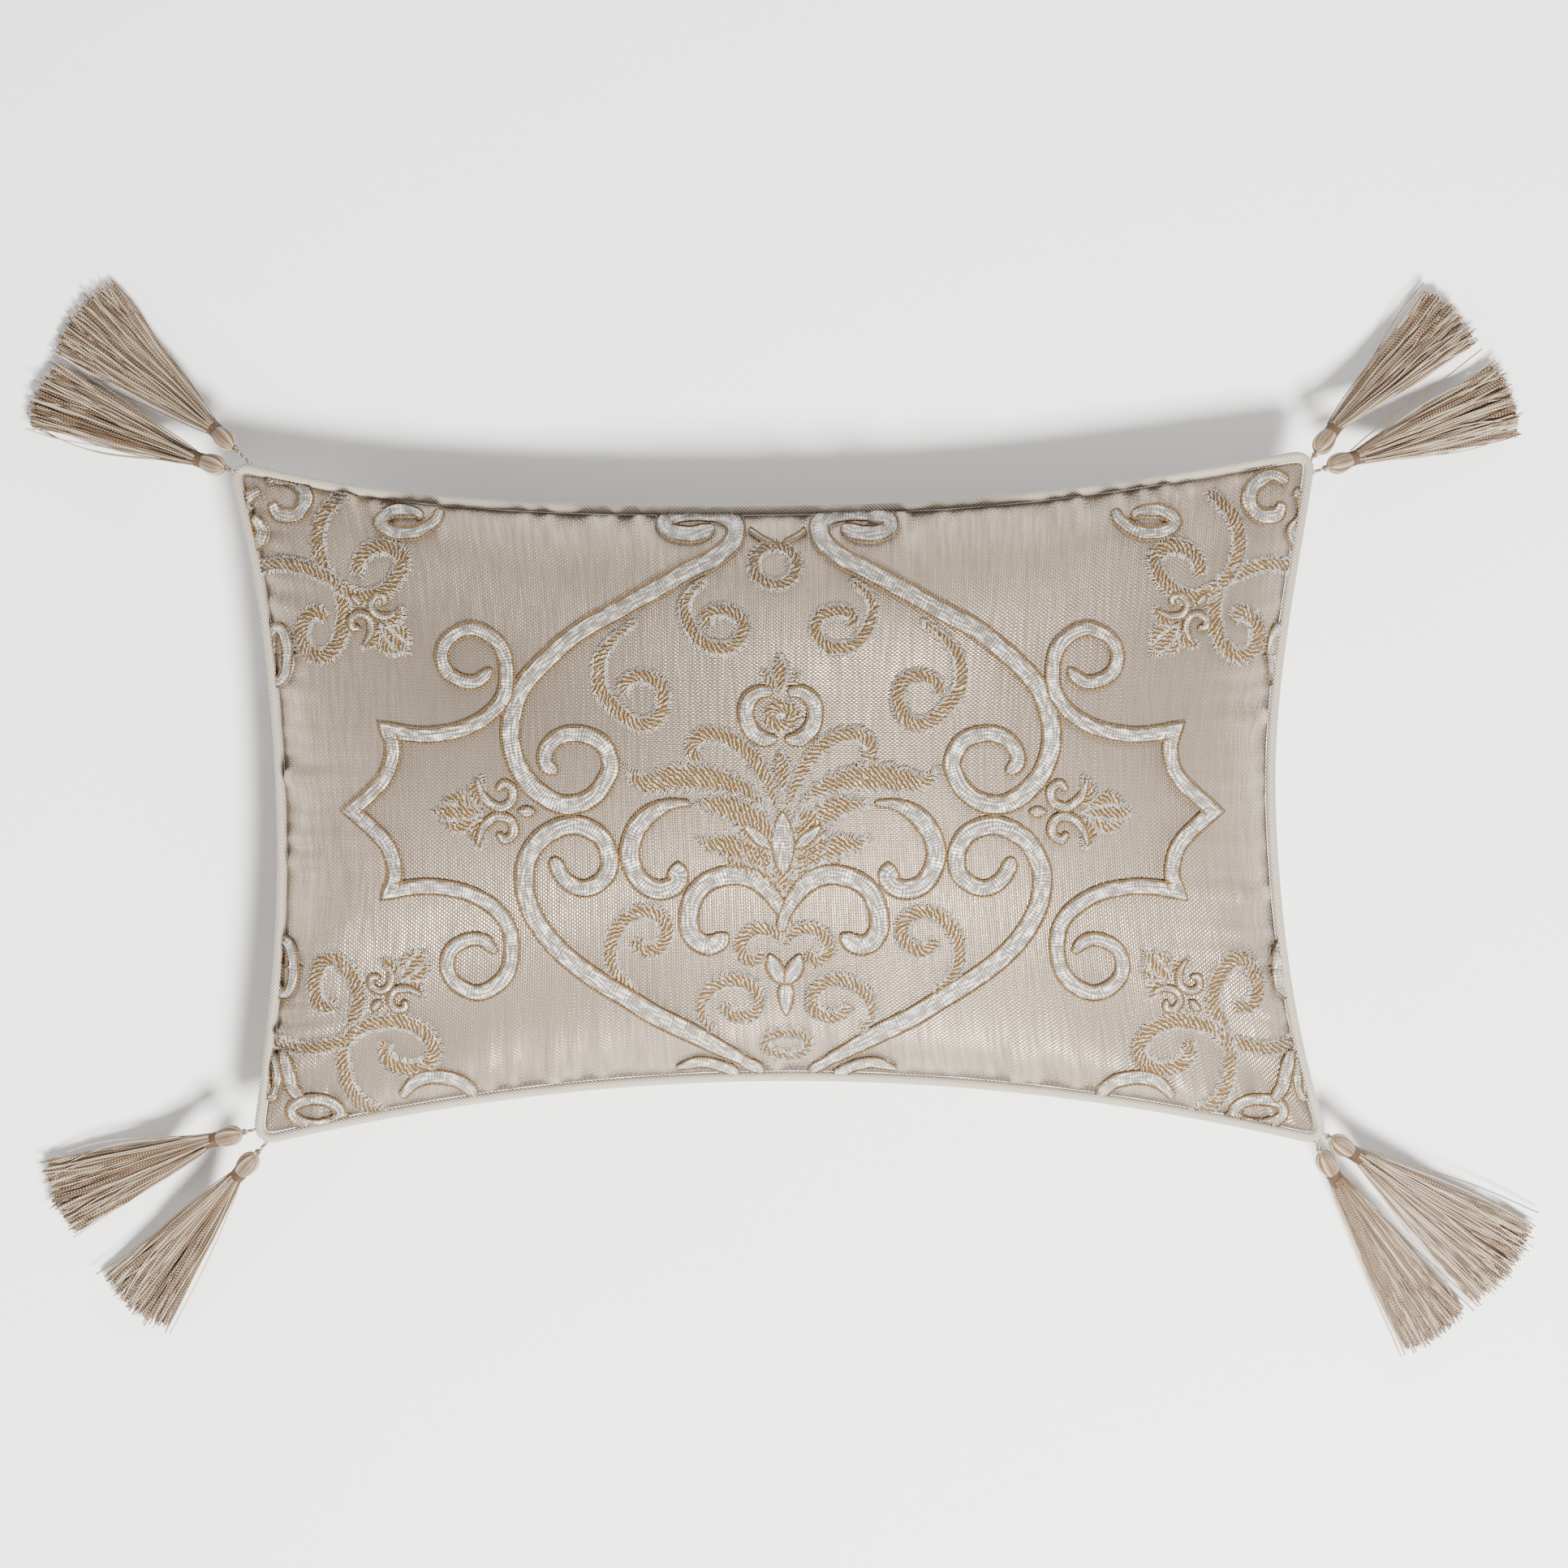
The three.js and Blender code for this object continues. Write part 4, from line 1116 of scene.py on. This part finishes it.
def stitched_design():
    d = Design()
    # The frame of two long curves, and the brackets that stand out from it at the sides.
    d.scroll("satin", 9.4, CURL + SHOULDER, (0.8, 0.85))
    d.scroll("satin", 9.4, LOWER_CURL, (0.8, 0.5))
    half = np.concatenate([spline(BRACKET), spline(POINT)[1:]])
    d.add("satin", 7.4, np.concatenate([half, flip(half, y=True)[::-1][1:]]), (0.85, 0.85))
    d.fleur((-148, -7), 180, 1.0)
    # Hooks inside the frame.
    d.scroll("twill", 8.0, [(-72, 91.6), (-79, 86.6), (-86.5, 80), (-92, 70.5), (-92, 58), (-86, 48.5),
        (-78.5, 41), (-70, 38), (-62.5, 42), (-59.5, 51.5), (-63, 60), (-72, 63), (-79.5, 59),
        (-80.5, 53)], (0.45, 0.85))
    d.scroll("twill", 8.0, [(-75.4, -100.2), (-84.9, -91.5), (-88.7, -83.5), (-88.6, -74.7),
        (-85.2, -66.7), (-78.7, -60.3), (-70.7, -57.9), (-62.7, -61.1), (-59.7, -68.3), (-63, -75.5),
        (-71, -77.9), (-77.3, -73.1)], (0.55, 0.85))
    d.scroll("twill", 7.4, [(-36, 112.4), (-43.5, 106.6), (-48, 99), (-46, 90), (-41, 82), (-33.5, 77.5),
        (-24, 78), (-18, 86), (-20, 93.5), (-28.5, 96.5), (-36.5, 94.5), (-36.5, 88)], (0.5, 0.85))
    d.scroll("twill", 7.4, [(-36.5, -120), (-42.5, -111.5), (-42, -103), (-36, -96), (-27, -93),
        (-19, -94.5), (-13.5, -100.5), (-13.5, -107.5), (-19, -111.5), (-27, -111), (-32, -106)],
        (0.55, 0.85))
    d.ring("twill", 6.2, (-1, 120), 11, 10, x=False)
    d.scroll("satin", 2.2, [(-14, 138), (-8, 134), (-2, 131)], (1, 0.6))
    d.ring("twill", 5.4, (1, -126), 11, 6, x=False)
    d.scroll("satin", 5.0, [(-56, -138), (-44, -135), (-33, -137), (-24, -141)], (0.4, 0.5))
    # Corner sprays, above and then below.
    knot = (-225.5, 109.5)
    d.scroll("twill", 7.6, [knot, (-231, 115.5), (-234.5, 122), (-236.5, 134), (-233.5, 145.5),
        (-228, 152), (-221, 158)], (0.9, 0.8))
    d.scroll("twill", 7.6, [knot, (-230.5, 113.5), (-237.5, 117), (-245.5, 119.5), (-253.5, 121),
        (-262, 120), (-272, 118)], (0.9, 0.8))
    d.scroll("twill", 8.4, [knot, (-220, 106), (-213, 103.5), (-203, 106.5), (-195, 115.5), (-193, 123.5),
        (-200, 129.5), (-209.5, 128), (-215.5, 121.5), (-216, 115)], (0.9, 0.8))
    d.scroll("twill", 8.4, [knot, (-223, 100), (-223.5, 89.5), (-227, 79.5), (-234, 73.5), (-242, 76),
        (-245.5, 84), (-243.5, 92), (-237.5, 96), (-232, 93)], (0.9, 0.8))
    d.fleur((-207, 92), -47, 0.78)
    d.scroll("satin", 7.2, [(-262, 163), (-254, 166), (-245, 161), (-242, 153), (-247, 146), (-256, 146),
        (-259, 152)], (0.7, 0.6))
    d.scroll("satin", 6.4, [(-265, 158), (-272, 154), (-276, 144), (-273, 133), (-267, 131), (-264, 138),
        (-268, 145)], (0.7, 0.5))
    d.scroll("satin", 6.4, [(-173, 148), (-176, 142), (-186, 136.5), (-198, 137), (-204, 142),
        (-197, 147.5), (-186, 147), (-182, 144)], (0.7, 0.5))
    knot = (-225.9, -124.2)
    d.scroll("twill", 7.6, [knot, (-227.7, -130.2), (-227.1, -138.8), (-224.6, -149), (-219.6, -155.8),
        (-212.9, -160.1), (-206, -163.5)], (0.9, 0.8))
    d.scroll("twill", 7.6, [knot, (-236.2, -126.8), (-249.1, -128.5), (-265, -123.4)], (0.9, 0.8))
    d.scroll("twill", 8.4, [knot, (-219, -118.3), (-208.8, -114.9), (-199.3, -114), (-189.2, -117.4),
        (-182.4, -124.2), (-180.8, -131.1), (-185.2, -137), (-193.8, -138.8), (-202.2, -136.2),
        (-206.4, -131.1), (-205.5, -125.1)], (0.9, 0.8))
    d.scroll("twill", 8.4, [knot, (-219.7, -108), (-219.6, -97.8), (-223.6, -89.3), (-229.5, -83.3),
        (-236.3, -83.3), (-240.7, -91), (-241.7, -99.5), (-238.4, -106.3), (-230.7, -107.2)], (0.9, 0.8))
    d.fleur((-200.1, -96.5), 47, 0.78)
    d.scroll("satin", 6.4, [(-258.4, -130), (-255.8, -141), (-253.8, -149), (-249, -155)], (0.6, 0.6))
    d.ring("satin", 5.2, (-242, -161), 12.5, 6.3)
    d.ring("satin", 3.6, (-265, -143), 4.0, 11.5)
    d.scroll("satin", 6.4, [(-198, -153), (-190.5, -145.5), (-181, -143), (-170, -144.6),
        (-163.2, -148.8), (-159.5, -154)], (0.6, 0.6))
    d.ring("satin", 5.0, (-257, 74), 5.2, 14, y=True)
    # The palmette, from its lowest leaves up, so that later ones lie over them.
    d.leaf("twill", 15, [(-2, -33), (-16, -28), (-29, -24), (-37, -23), (-44, -20)], 0.42)
    d.leaf("twill", 9, [(-1, -40), (-12, -39), (-21, -36), (-31, -29)], 0.5)
    d.leaf("twill", 8, [(1, -50), (-6, -44), (-13, -41), (-22, -38)], 0.5)
    d.leaf("twill", 20, [(-7, -43), (-12, -28), (-13, -14), (-10, -2)], 0.5)
    d.leaf("twill", 14, [(-3, -22), (-10, -13.5), (-17, -9), (-28, -4.5), (-37, -3), (-45, -3.6)], 0.45)
    d.leaf("twill", 15, [(-4, -12), (-11.8, -0.7), (-22, 6.2), (-36, 10.5), (-52, 11), (-65.5, 8.6),
        (-73.5, 9.4), (-80, 16.5)], 0.6)
    d.leaf("twill", 16, [(1, -57), (1, -42), (1, -22), (1, -3)], 0.55, x=False)
    d.scroll("twill", 8, [(-2.6, -5), (-6, 7), (-11.8, 17.6), (-19.8, 26.5), (-29, 32), (-38.5, 33),
        (-44.5, 29), (-45, 23.5), (-40.5, 21)], (0.45, 0.9))
    d.leaf("satin", 6, [(-5, -26), (-12, -20), (-19, -14)], 0.5)
    d.scroll("satin", 9.6, [(-47, -2.5), (-56, -3), (-64, -6), (-70.5, -11), (-75, -17), (-77.5, -24),
        (-78, -30), (-76, -37), (-72.5, -42.5), (-67.5, -46), (-61, -47), (-55, -44.5), (-53, -39.5),
        (-57, -36)], (0.3, 1.0))
    d.scroll("twill", 7.2, [(1.5, -75), (-3, -69.5), (-10, -66.5), (-18, -69), (-22, -75.5), (-20, -81.5),
        (-14.5, -83), (-10.5, -79.5)], (0.7, 0.9))
    d.scroll("satin", 9.6, [(3, -68), (0, -59), (-5, -50.5), (-12, -43), (-21, -39.5), (-30, -40),
        (-39, -43.5), (-45, -50), (-48, -59), (-48, -67), (-44.5, -73), (-38.5, -75.5), (-33, -73),
        (-33, -69)], (0.5, 1.0))
    d.leaf("twill", 9, [(0.8, 3), (0.8, 25)], 0.5, x=False)
    d.leaf("satin", 11.5, [(0.8, -39.5), (0.8, -7)], 0.5, x=False)
    d.scroll("satin", 7.8, [(-3.4, 54.5), (-10.5, 54), (-15.8, 49.5), (-17, 42.5), (-14.5, 35),
        (-8.4, 30.3), (-1.5, 30)], (0.6, 0.5))
    d.ring("twill", 8.5, (0.8, 42.5), 5.6, 4.6, x=False)
    d.leaf("twill", 8.5, [(0.8, 53), (0.8, 74)], 0.55, x=False)
    d.leaf("twill", 6, [(0, 56), (-4.5, 59.5), (-8.5, 66)], 0.5)
    d.leaf("satin", 8.4, [(1, -95), (-4, -88), (-7, -80)], 0.5)
    d.leaf("satin", 8, [(1, -94), (1, -111)], 0.4, x=False)
    return d.strokes


def width_profile(share, ends):
    """Width along a stroke, from 0 to 1."""
    if not isinstance(ends, tuple):
        return np.clip(np.sin(np.pi * share ** (math.log(0.5) / math.log(ends))), 0.02, 1) ** 0.75
    near = np.clip(share / 0.3, 0, 1)
    far = np.clip((1 - share) / 0.18, 0, 1)
    ease = [e * e * (3 - 2 * e) for e in (near, far)]
    blunt = np.sqrt(np.clip(1 - (1 - np.clip(np.minimum(share, 1 - share) / 0.02, 0, 1)) ** 2, 0.05, 1))
    return (ends[0] + (1 - ends[0]) * ease[0]) * (ends[1] + (1 - ends[1]) * ease[1]) * blunt


def lay(points, lift):
    """Points in plan, laid on the front panel by lines from high above the pillow's middle."""
    tree = BUILT["front"]
    out = np.empty((len(points), 3))
    for i, (x, y) in enumerate(points):
        aim = Vector((x * MM, y * MM, SEAM_HEIGHT * MM)) - EYE
        hit, normal, _, _ = tree.ray_cast(EYE, aim)
        if hit is None:
            hit, normal, _, _ = tree.find_nearest(EYE + aim)
        if normal.z < 0:
            normal = -normal
        out[i] = hit + normal * float(lift[i])
    return out


class PILLOW_OT_embroidery(Operator):
    """Stitches the scrollwork on the front panel, with a cord or short stitches round every shape"""
    bl_idname = "pillow.embroidery"
    bl_label = "Embroidery"

    def execute(self, context):
        s, c = sizes(), colours()
        rng = np.random.default_rng(SEED + 50)
        fills, edges, tufts = {"satin": [], "twill": []}, [], []
        for number, (style, width, ends, path, closed) in enumerate(stitched_design()):
            shape = self.plan(style, path, width, ends, closed)
            lift = 0.00025 * (number % 3) + (0.0006 if style == "satin" else 0.0)
            fills[style].append(self.fill(style, shape, s.relief, lift))
            if style == "satin":
                edges.append(self.outline(shape, s.relief * 0.3 + lift))
            else:
                tufts.extend(self.fringe(shape, s.relief + lift, rng))
        satin = satin_finish("Ivory satin stitch", c.ivory, c.slub)
        twill = twill_finish("Tan slant stitch", shade(c.ivory, 0.6), shade(c.tan, 0.82))
        trim = twill_finish("Couched outline", shade(c.tan, 1.4), shade(c.tan, 0.85), pitch=0.0016)
        pale = satin_finish("Pale edge stitch", shade(c.ivory, 0.88), shade(c.slub, 1.3), shade_streaks=0.5)
        for style, finish in (("satin", satin), ("twill", twill)):
            points = np.concatenate([f[0] for f in fills[style]])
            uv = np.concatenate([f[1] for f in fills[style]])
            faces, base = [], 0
            for p, _, q in fills[style]:
                faces.extend((q + base).tolist())
                base += len(p)
            dress(mesh_object(f"{style}_stitching", points, faces, uv), finish)
        for name, paths, finish, radius, sides in (("couched_outline", edges, trim, s.outline, 6),
                                                   ("edge_stitches", tufts, pale, 0.0003, 3)):
            piece = cords(name, paths, finish, radius, sides)
            self.unwrap(piece)
            dress(piece, finish)
        return {"FINISHED"}

    def unwrap(self, piece):
        """Gives a cord a UV map that holds the way along it."""
        along = np.zeros(len(piece.data.vertices), np.float32)
        piece.data.attributes["along"].data.foreach_get("value", along)
        add_uv(piece.data, np.stack([along, coordinates(piece)[:, 0] * 0.3], axis=1))

    def plan(self, style, path, width, ends, closed):
        """A band's centre line, mitred side direction, half width and length run, in plan."""
        if closed:
            path = np.concatenate([path, path[:1]])
        step = np.diff(path, axis=0)
        if closed:
            step = np.concatenate([step[-1:], step, step[:1]])
        else:
            step = np.concatenate([step[:1], step, step[-1:]])
        normal = np.stack([-step[:, 1], step[:, 0]], axis=1)
        normal /= np.linalg.norm(normal, axis=1)[:, None] + 1e-9
        side = normal[:-1] + normal[1:]
        side /= np.linalg.norm(side, axis=1)[:, None] + 1e-9
        side /= np.clip((side * normal[1:]).sum(axis=1), 0.55, 1)[:, None]
        share = np.linspace(0, 1, len(path))
        run = run_along(path)
        half = width / 2 * (np.ones(len(path)) if closed else width_profile(share, ends))
        if style == "twill" and not isinstance(ends, tuple) and run[-1] > 25:
            half = half * (0.84 + 0.3 * (run / LEAF_TOOTH % 1.0))
        return path, side, half, run, closed

    def fill(self, style, shape, relief, lift):
        """A raised band: rows of padding for satin, and slanting ridges for twill."""
        path, side, half, run, _ = shape
        rows = np.linspace(-1, 1, 15)
        plan = path[:, None] + side[:, None] * (rows[None] * half[:, None])[..., None]
        crown = np.clip(1 - np.abs(rows) ** 3, 0, 1)[None] * np.minimum(1, half / 1.6)[:, None] * relief
        if style == "satin":
            lanes = np.maximum(1, np.round(half.max() * 2 / 2.4))
            crown = crown * (0.55 + 0.45 * np.abs(np.sin(np.pi * lanes * (rows + 1) / 2)))[None]
        else:
            slant = run[:, None] + SLANT * rows[None] * half[:, None]
            crown = crown * (0.8 + 0.3 * np.sin(2 * np.pi * slant / 4.2))
        crown = crown + lift
        crown[:, [0, -1]] = -0.0002
        points = lay(plan.reshape(-1, 2), crown.ravel())
        uv = np.stack(np.broadcast_arrays(run[:, None] * MM, rows[None] * half[:, None] * MM), axis=-1)
        return points, uv.reshape(-1, 2), quads(numbered(len(path), len(rows)))[:, [1, 2, 3, 0]]

    def outline(self, shape, lift):
        path, side, half, _, closed = shape
        reach = side * (half + 0.15)[:, None]
        loop = np.concatenate([path + reach, (path - reach)[::-1]])
        loop = np.concatenate([loop, loop[:1]]) if not closed else loop
        return lay(loop, np.full(len(loop), lift))

    def fringe(self, shape, lift, rng, pitch=0.62):
        """Short stitches laid over both edges of a band."""
        path, side, half, run, _ = shape
        paths, deep = [], float(np.clip(half.max() * 0.36, 1.4, 2.6))
        for sign in (-1, 1):
            for at in np.arange(rng.uniform(0, pitch), run[-1], pitch):
                at = min(run[-1], max(0, at + rng.normal(0, 0.2)))
                centre, across, wide = (np.array([np.interp(at, run, a[:, k]) for k in range(2)])
                                        if a.ndim > 1 else np.interp(at, run, a) for a in (path, side, half))
                across = across * sign
                along = np.array([across[1], -across[0]]) * sign
                lean = rng.normal(0.5, 0.35)
                inner, outer = -rng.uniform(0.4, deep), rng.uniform(0.35, 1.35)
                foot = centre + across * max(0.2, wide + inner)
                tip = centre + across * (wide + outer) + along * lean * (outer - inner)
                middle = (foot + tip) / 2
                paths.append(lay([foot, middle, tip], [lift * 0.95, lift * 0.8, 0.0001]))
        return paths


class PILLOW_OT_zip(Operator):
    """Fits the nylon coils and finishes the zip's tapes, stops, slider and pull"""
    bl_idname = "pillow.zip"
    bl_label = "Concealed zip"

    def execute(self, context):
        c = colours()
        tape = tape_finish("Zip tape", shade(c.cream, 0.9))
        coil = tape_finish("Zip coil", shade(c.cream, 0.75))
        metal = metal_finish("Zip metal", c.metal)
        for name, node in frame["nodes"].items():
            if not name.startswith("zip_"):
                continue
            finish = tape if "tape" in name else coil if "coil" in name else metal
            paint(node, finish)
        for side in ("upper", "lower"):
            co = coordinates(frame["nodes"][f"zip_coil_{side}"])
            path = self.centreline(co)
            helix = self.helix(path)
            piece = cords(f"coil_{side}", [helix], coil, 0.00022, 5)
            dress(piece, coil, node=f"zip_coil_{side}")
        return {"FINISHED"}

    def centreline(self, co):
        """Middle of a bar, from its corner points sorted along X."""
        order = co[np.argsort(co[:, 0])]
        unique = np.unique(np.round(order, 6), axis=0)
        groups = np.array_split(unique, 13)
        return np.array([g.mean(axis=0) for g in groups])

    def helix(self, path, radius=0.00045, pitch=0.0012):
        line = resample(path, 400)
        length = steps(line).sum()
        count = int(length / pitch) * 8
        line = resample(line, count)
        turn = np.linspace(0, length / pitch * 2 * np.pi, count)
        line[:, 1] += radius * np.cos(turn)
        line[:, 2] += radius * np.sin(turn)
        return line


class PILLOW_OT_insert(Operator):
    """Makes the insert and its filling, which the cover hides"""
    bl_idname = "pillow.insert"
    bl_label = "Insert"

    def execute(self, context):
        c = colours()
        lining = cloth_finish("Insert cloth", c.lining, shade(c.lining, 0.8), pit_shade=0.2, slub=0.2,
                              roughness=0.7)
        us, vs = np.linspace(0, 1, 61), np.linspace(0, 1, 41)
        plan = panel_plan(us, vs) * (1 - 9 / (LENGTH / 2))
        for side, name, tree in ((1, "front", BUILT["front"]), (-1, "back", BUILT["back"])):
            points = self.inside(plan, tree, side, 3.0, us, vs)
            flat = flat_grid(us, vs)
            if side < 0:
                points, flat = points[:, ::-1], flat[:, ::-1]
            piece = grid_object(f"insert_{name}_cloth", points, flat)
            thicken(piece, 0.0004)
            dress(piece, lining, node=f"insert_{name}")
        fill = self.filling(us, vs)
        dress(fill, fibre_finish("Loose fibre", (0.93, 0.93, 0.92)), node="fibre_fill")
        # The piping lip is the cover's cloth darkened to half: partly its own cloth, partly painted shade for
        # the gap under the piping.
        paint(frame["nodes"]["piping_lip"], tape_finish("Piping tape", shade(c.cloth, 0.5)))
        return {"FINISHED"}

    def inside(self, plan, tree, side, depth, us, vs):
        """Points a little inside a cover panel, and level with the seam at the edge."""
        out = np.empty(plan.shape[:2] + (3,))
        for i in range(plan.shape[0]):
            for j in range(plan.shape[1]):
                x, y = plan[i, j]
                seam = float(seam_height(x, y))
                start = Vector((x * MM, y * MM, seam * MM))
                hit = tree.ray_cast(start, Vector((0, 0, side)))[0]
                room = abs(hit.z / MM - seam) if hit is not None else 2 * depth
                rim = min(us[i], 1 - us[i], vs[j], 1 - vs[j])
                lift = max(0.3, min(room - depth, room * 0.93)) * min(1.0, rim * 12) ** 0.5
                out[i, j] = (x, y, seam + side * max(0.2, lift))
        return out

    def filling(self, us, vs):
        plan = panel_plan(us, vs) * (1 - 14 / (LENGTH / 2))
        upper = self.inside(plan, BUILT["front"], 1, 5.0, us, vs)
        lower = self.inside(plan, BUILT["back"], -1, 5.0, us, vs)
        top = numbered(len(us), len(vs))
        faces = quads(top)
        under = faces[:, [0, 3, 2, 1]] + top.size
        ring = list(top[:, 0]) + list(top[-1, 1:]) + list(top[-2::-1, -1]) + list(top[0, -2:0:-1])
        wall = [(b, b + top.size, a + top.size, a) for a, b in zip(ring, ring[1:] + ring[:1])]
        points = np.concatenate([upper.reshape(-1, 3), lower.reshape(-1, 3)]) * MM
        return mesh_object("fibre", points, faces.tolist() + under.tolist() + wall)


class PILLOW_OT_stage(Operator):
    """Sets the floor, the lights and the camera"""
    bl_idname = "pillow.stage"
    bl_label = "Stage"

    def execute(self, context):
        scene = context.scene
        floor = mesh_object("floor", [(-4, -4, -0.0004), (4, -4, -0.0004), (4, 4, -0.0004), (-4, 4, -0.0004)],
                            [(0, 1, 2, 3)])
        paint(floor, Finish("Pale floor", 0.9).wear((0.92, 0.92, 0.92)))
        for name, place, size, power, tint in (
                ("main light", (0.5, -1.1, 2.05), 0.5, 212, (1.0, 0.98, 0.95)),
                ("far light", (0.9, 1.7, 1.0), 0.9, 20, (1.0, 0.99, 0.98)),
                ("side light", (-2.0, -0.3, 1.3), 1.0, 18, (1.0, 0.99, 0.97))):
            lamp = bpy.data.lights.new(name, "AREA")
            lamp.energy, lamp.size, lamp.color = power, size, tint
            obj = placed(name, lamp)
            obj.location = place
            obj.rotation_euler = (Vector((0, 0, 0.05)) - Vector(place)).to_track_quat("-Z", "Y").to_euler()
        world = bpy.data.worlds.new("Studio")
        world.use_nodes = True
        colour_in, strength = list(world.node_tree.nodes["Background"].inputs)[:2]
        feed(colour_in, (1.0, 1.0, 1.0))
        feed(strength, 0.4)
        scene.world = world
        lens = bpy.data.cameras.new("camera")
        lens.lens, lens.sensor_width = 110.0, 36.0
        scene.camera = placed("camera", lens)
        scene.camera.location = EYE
        return {"FINISHED"}


class PILLOW_PT_panel(Panel):
    """Lists the pillow's pieces in the order they are made"""
    bl_idname = "PILLOW_PT_panel"
    bl_label = "Throw Pillow"
    bl_space_type = "VIEW_3D"
    bl_region_type = "UI"
    bl_category = "Pillow"

    def draw(self, context):
        layout = self.layout
        for group in (context.scene.pillow_sizes, context.scene.pillow_colours):
            for name in group.__annotations__:
                layout.prop(group, name)
        for operator in OPERATORS:
            layout.operator(operator.bl_idname)


OPERATORS = (PILLOW_OT_stage, PILLOW_OT_front, PILLOW_OT_back, PILLOW_OT_piping, PILLOW_OT_embroidery,
             PILLOW_OT_hangers, PILLOW_OT_heads, PILLOW_OT_skirts, PILLOW_OT_zip, PILLOW_OT_insert)
CLASSES = (PillowSizes, PillowColours, *OPERATORS, PILLOW_PT_panel)


def register():
    for cls in CLASSES:
        bpy.utils.register_class(cls)
    bpy.types.Scene.pillow_sizes = PointerProperty(type=PillowSizes)
    bpy.types.Scene.pillow_colours = PointerProperty(type=PillowColours)


def unregister():
    del bpy.types.Scene.pillow_colours
    del bpy.types.Scene.pillow_sizes
    for cls in reversed(CLASSES):
        bpy.utils.unregister_class(cls)


def main():
    register()
    for operator in OPERATORS:
        group, name = operator.bl_idname.split(".")
        getattr(getattr(bpy.ops, group), name)()


if __name__ == "__main__":
    main()
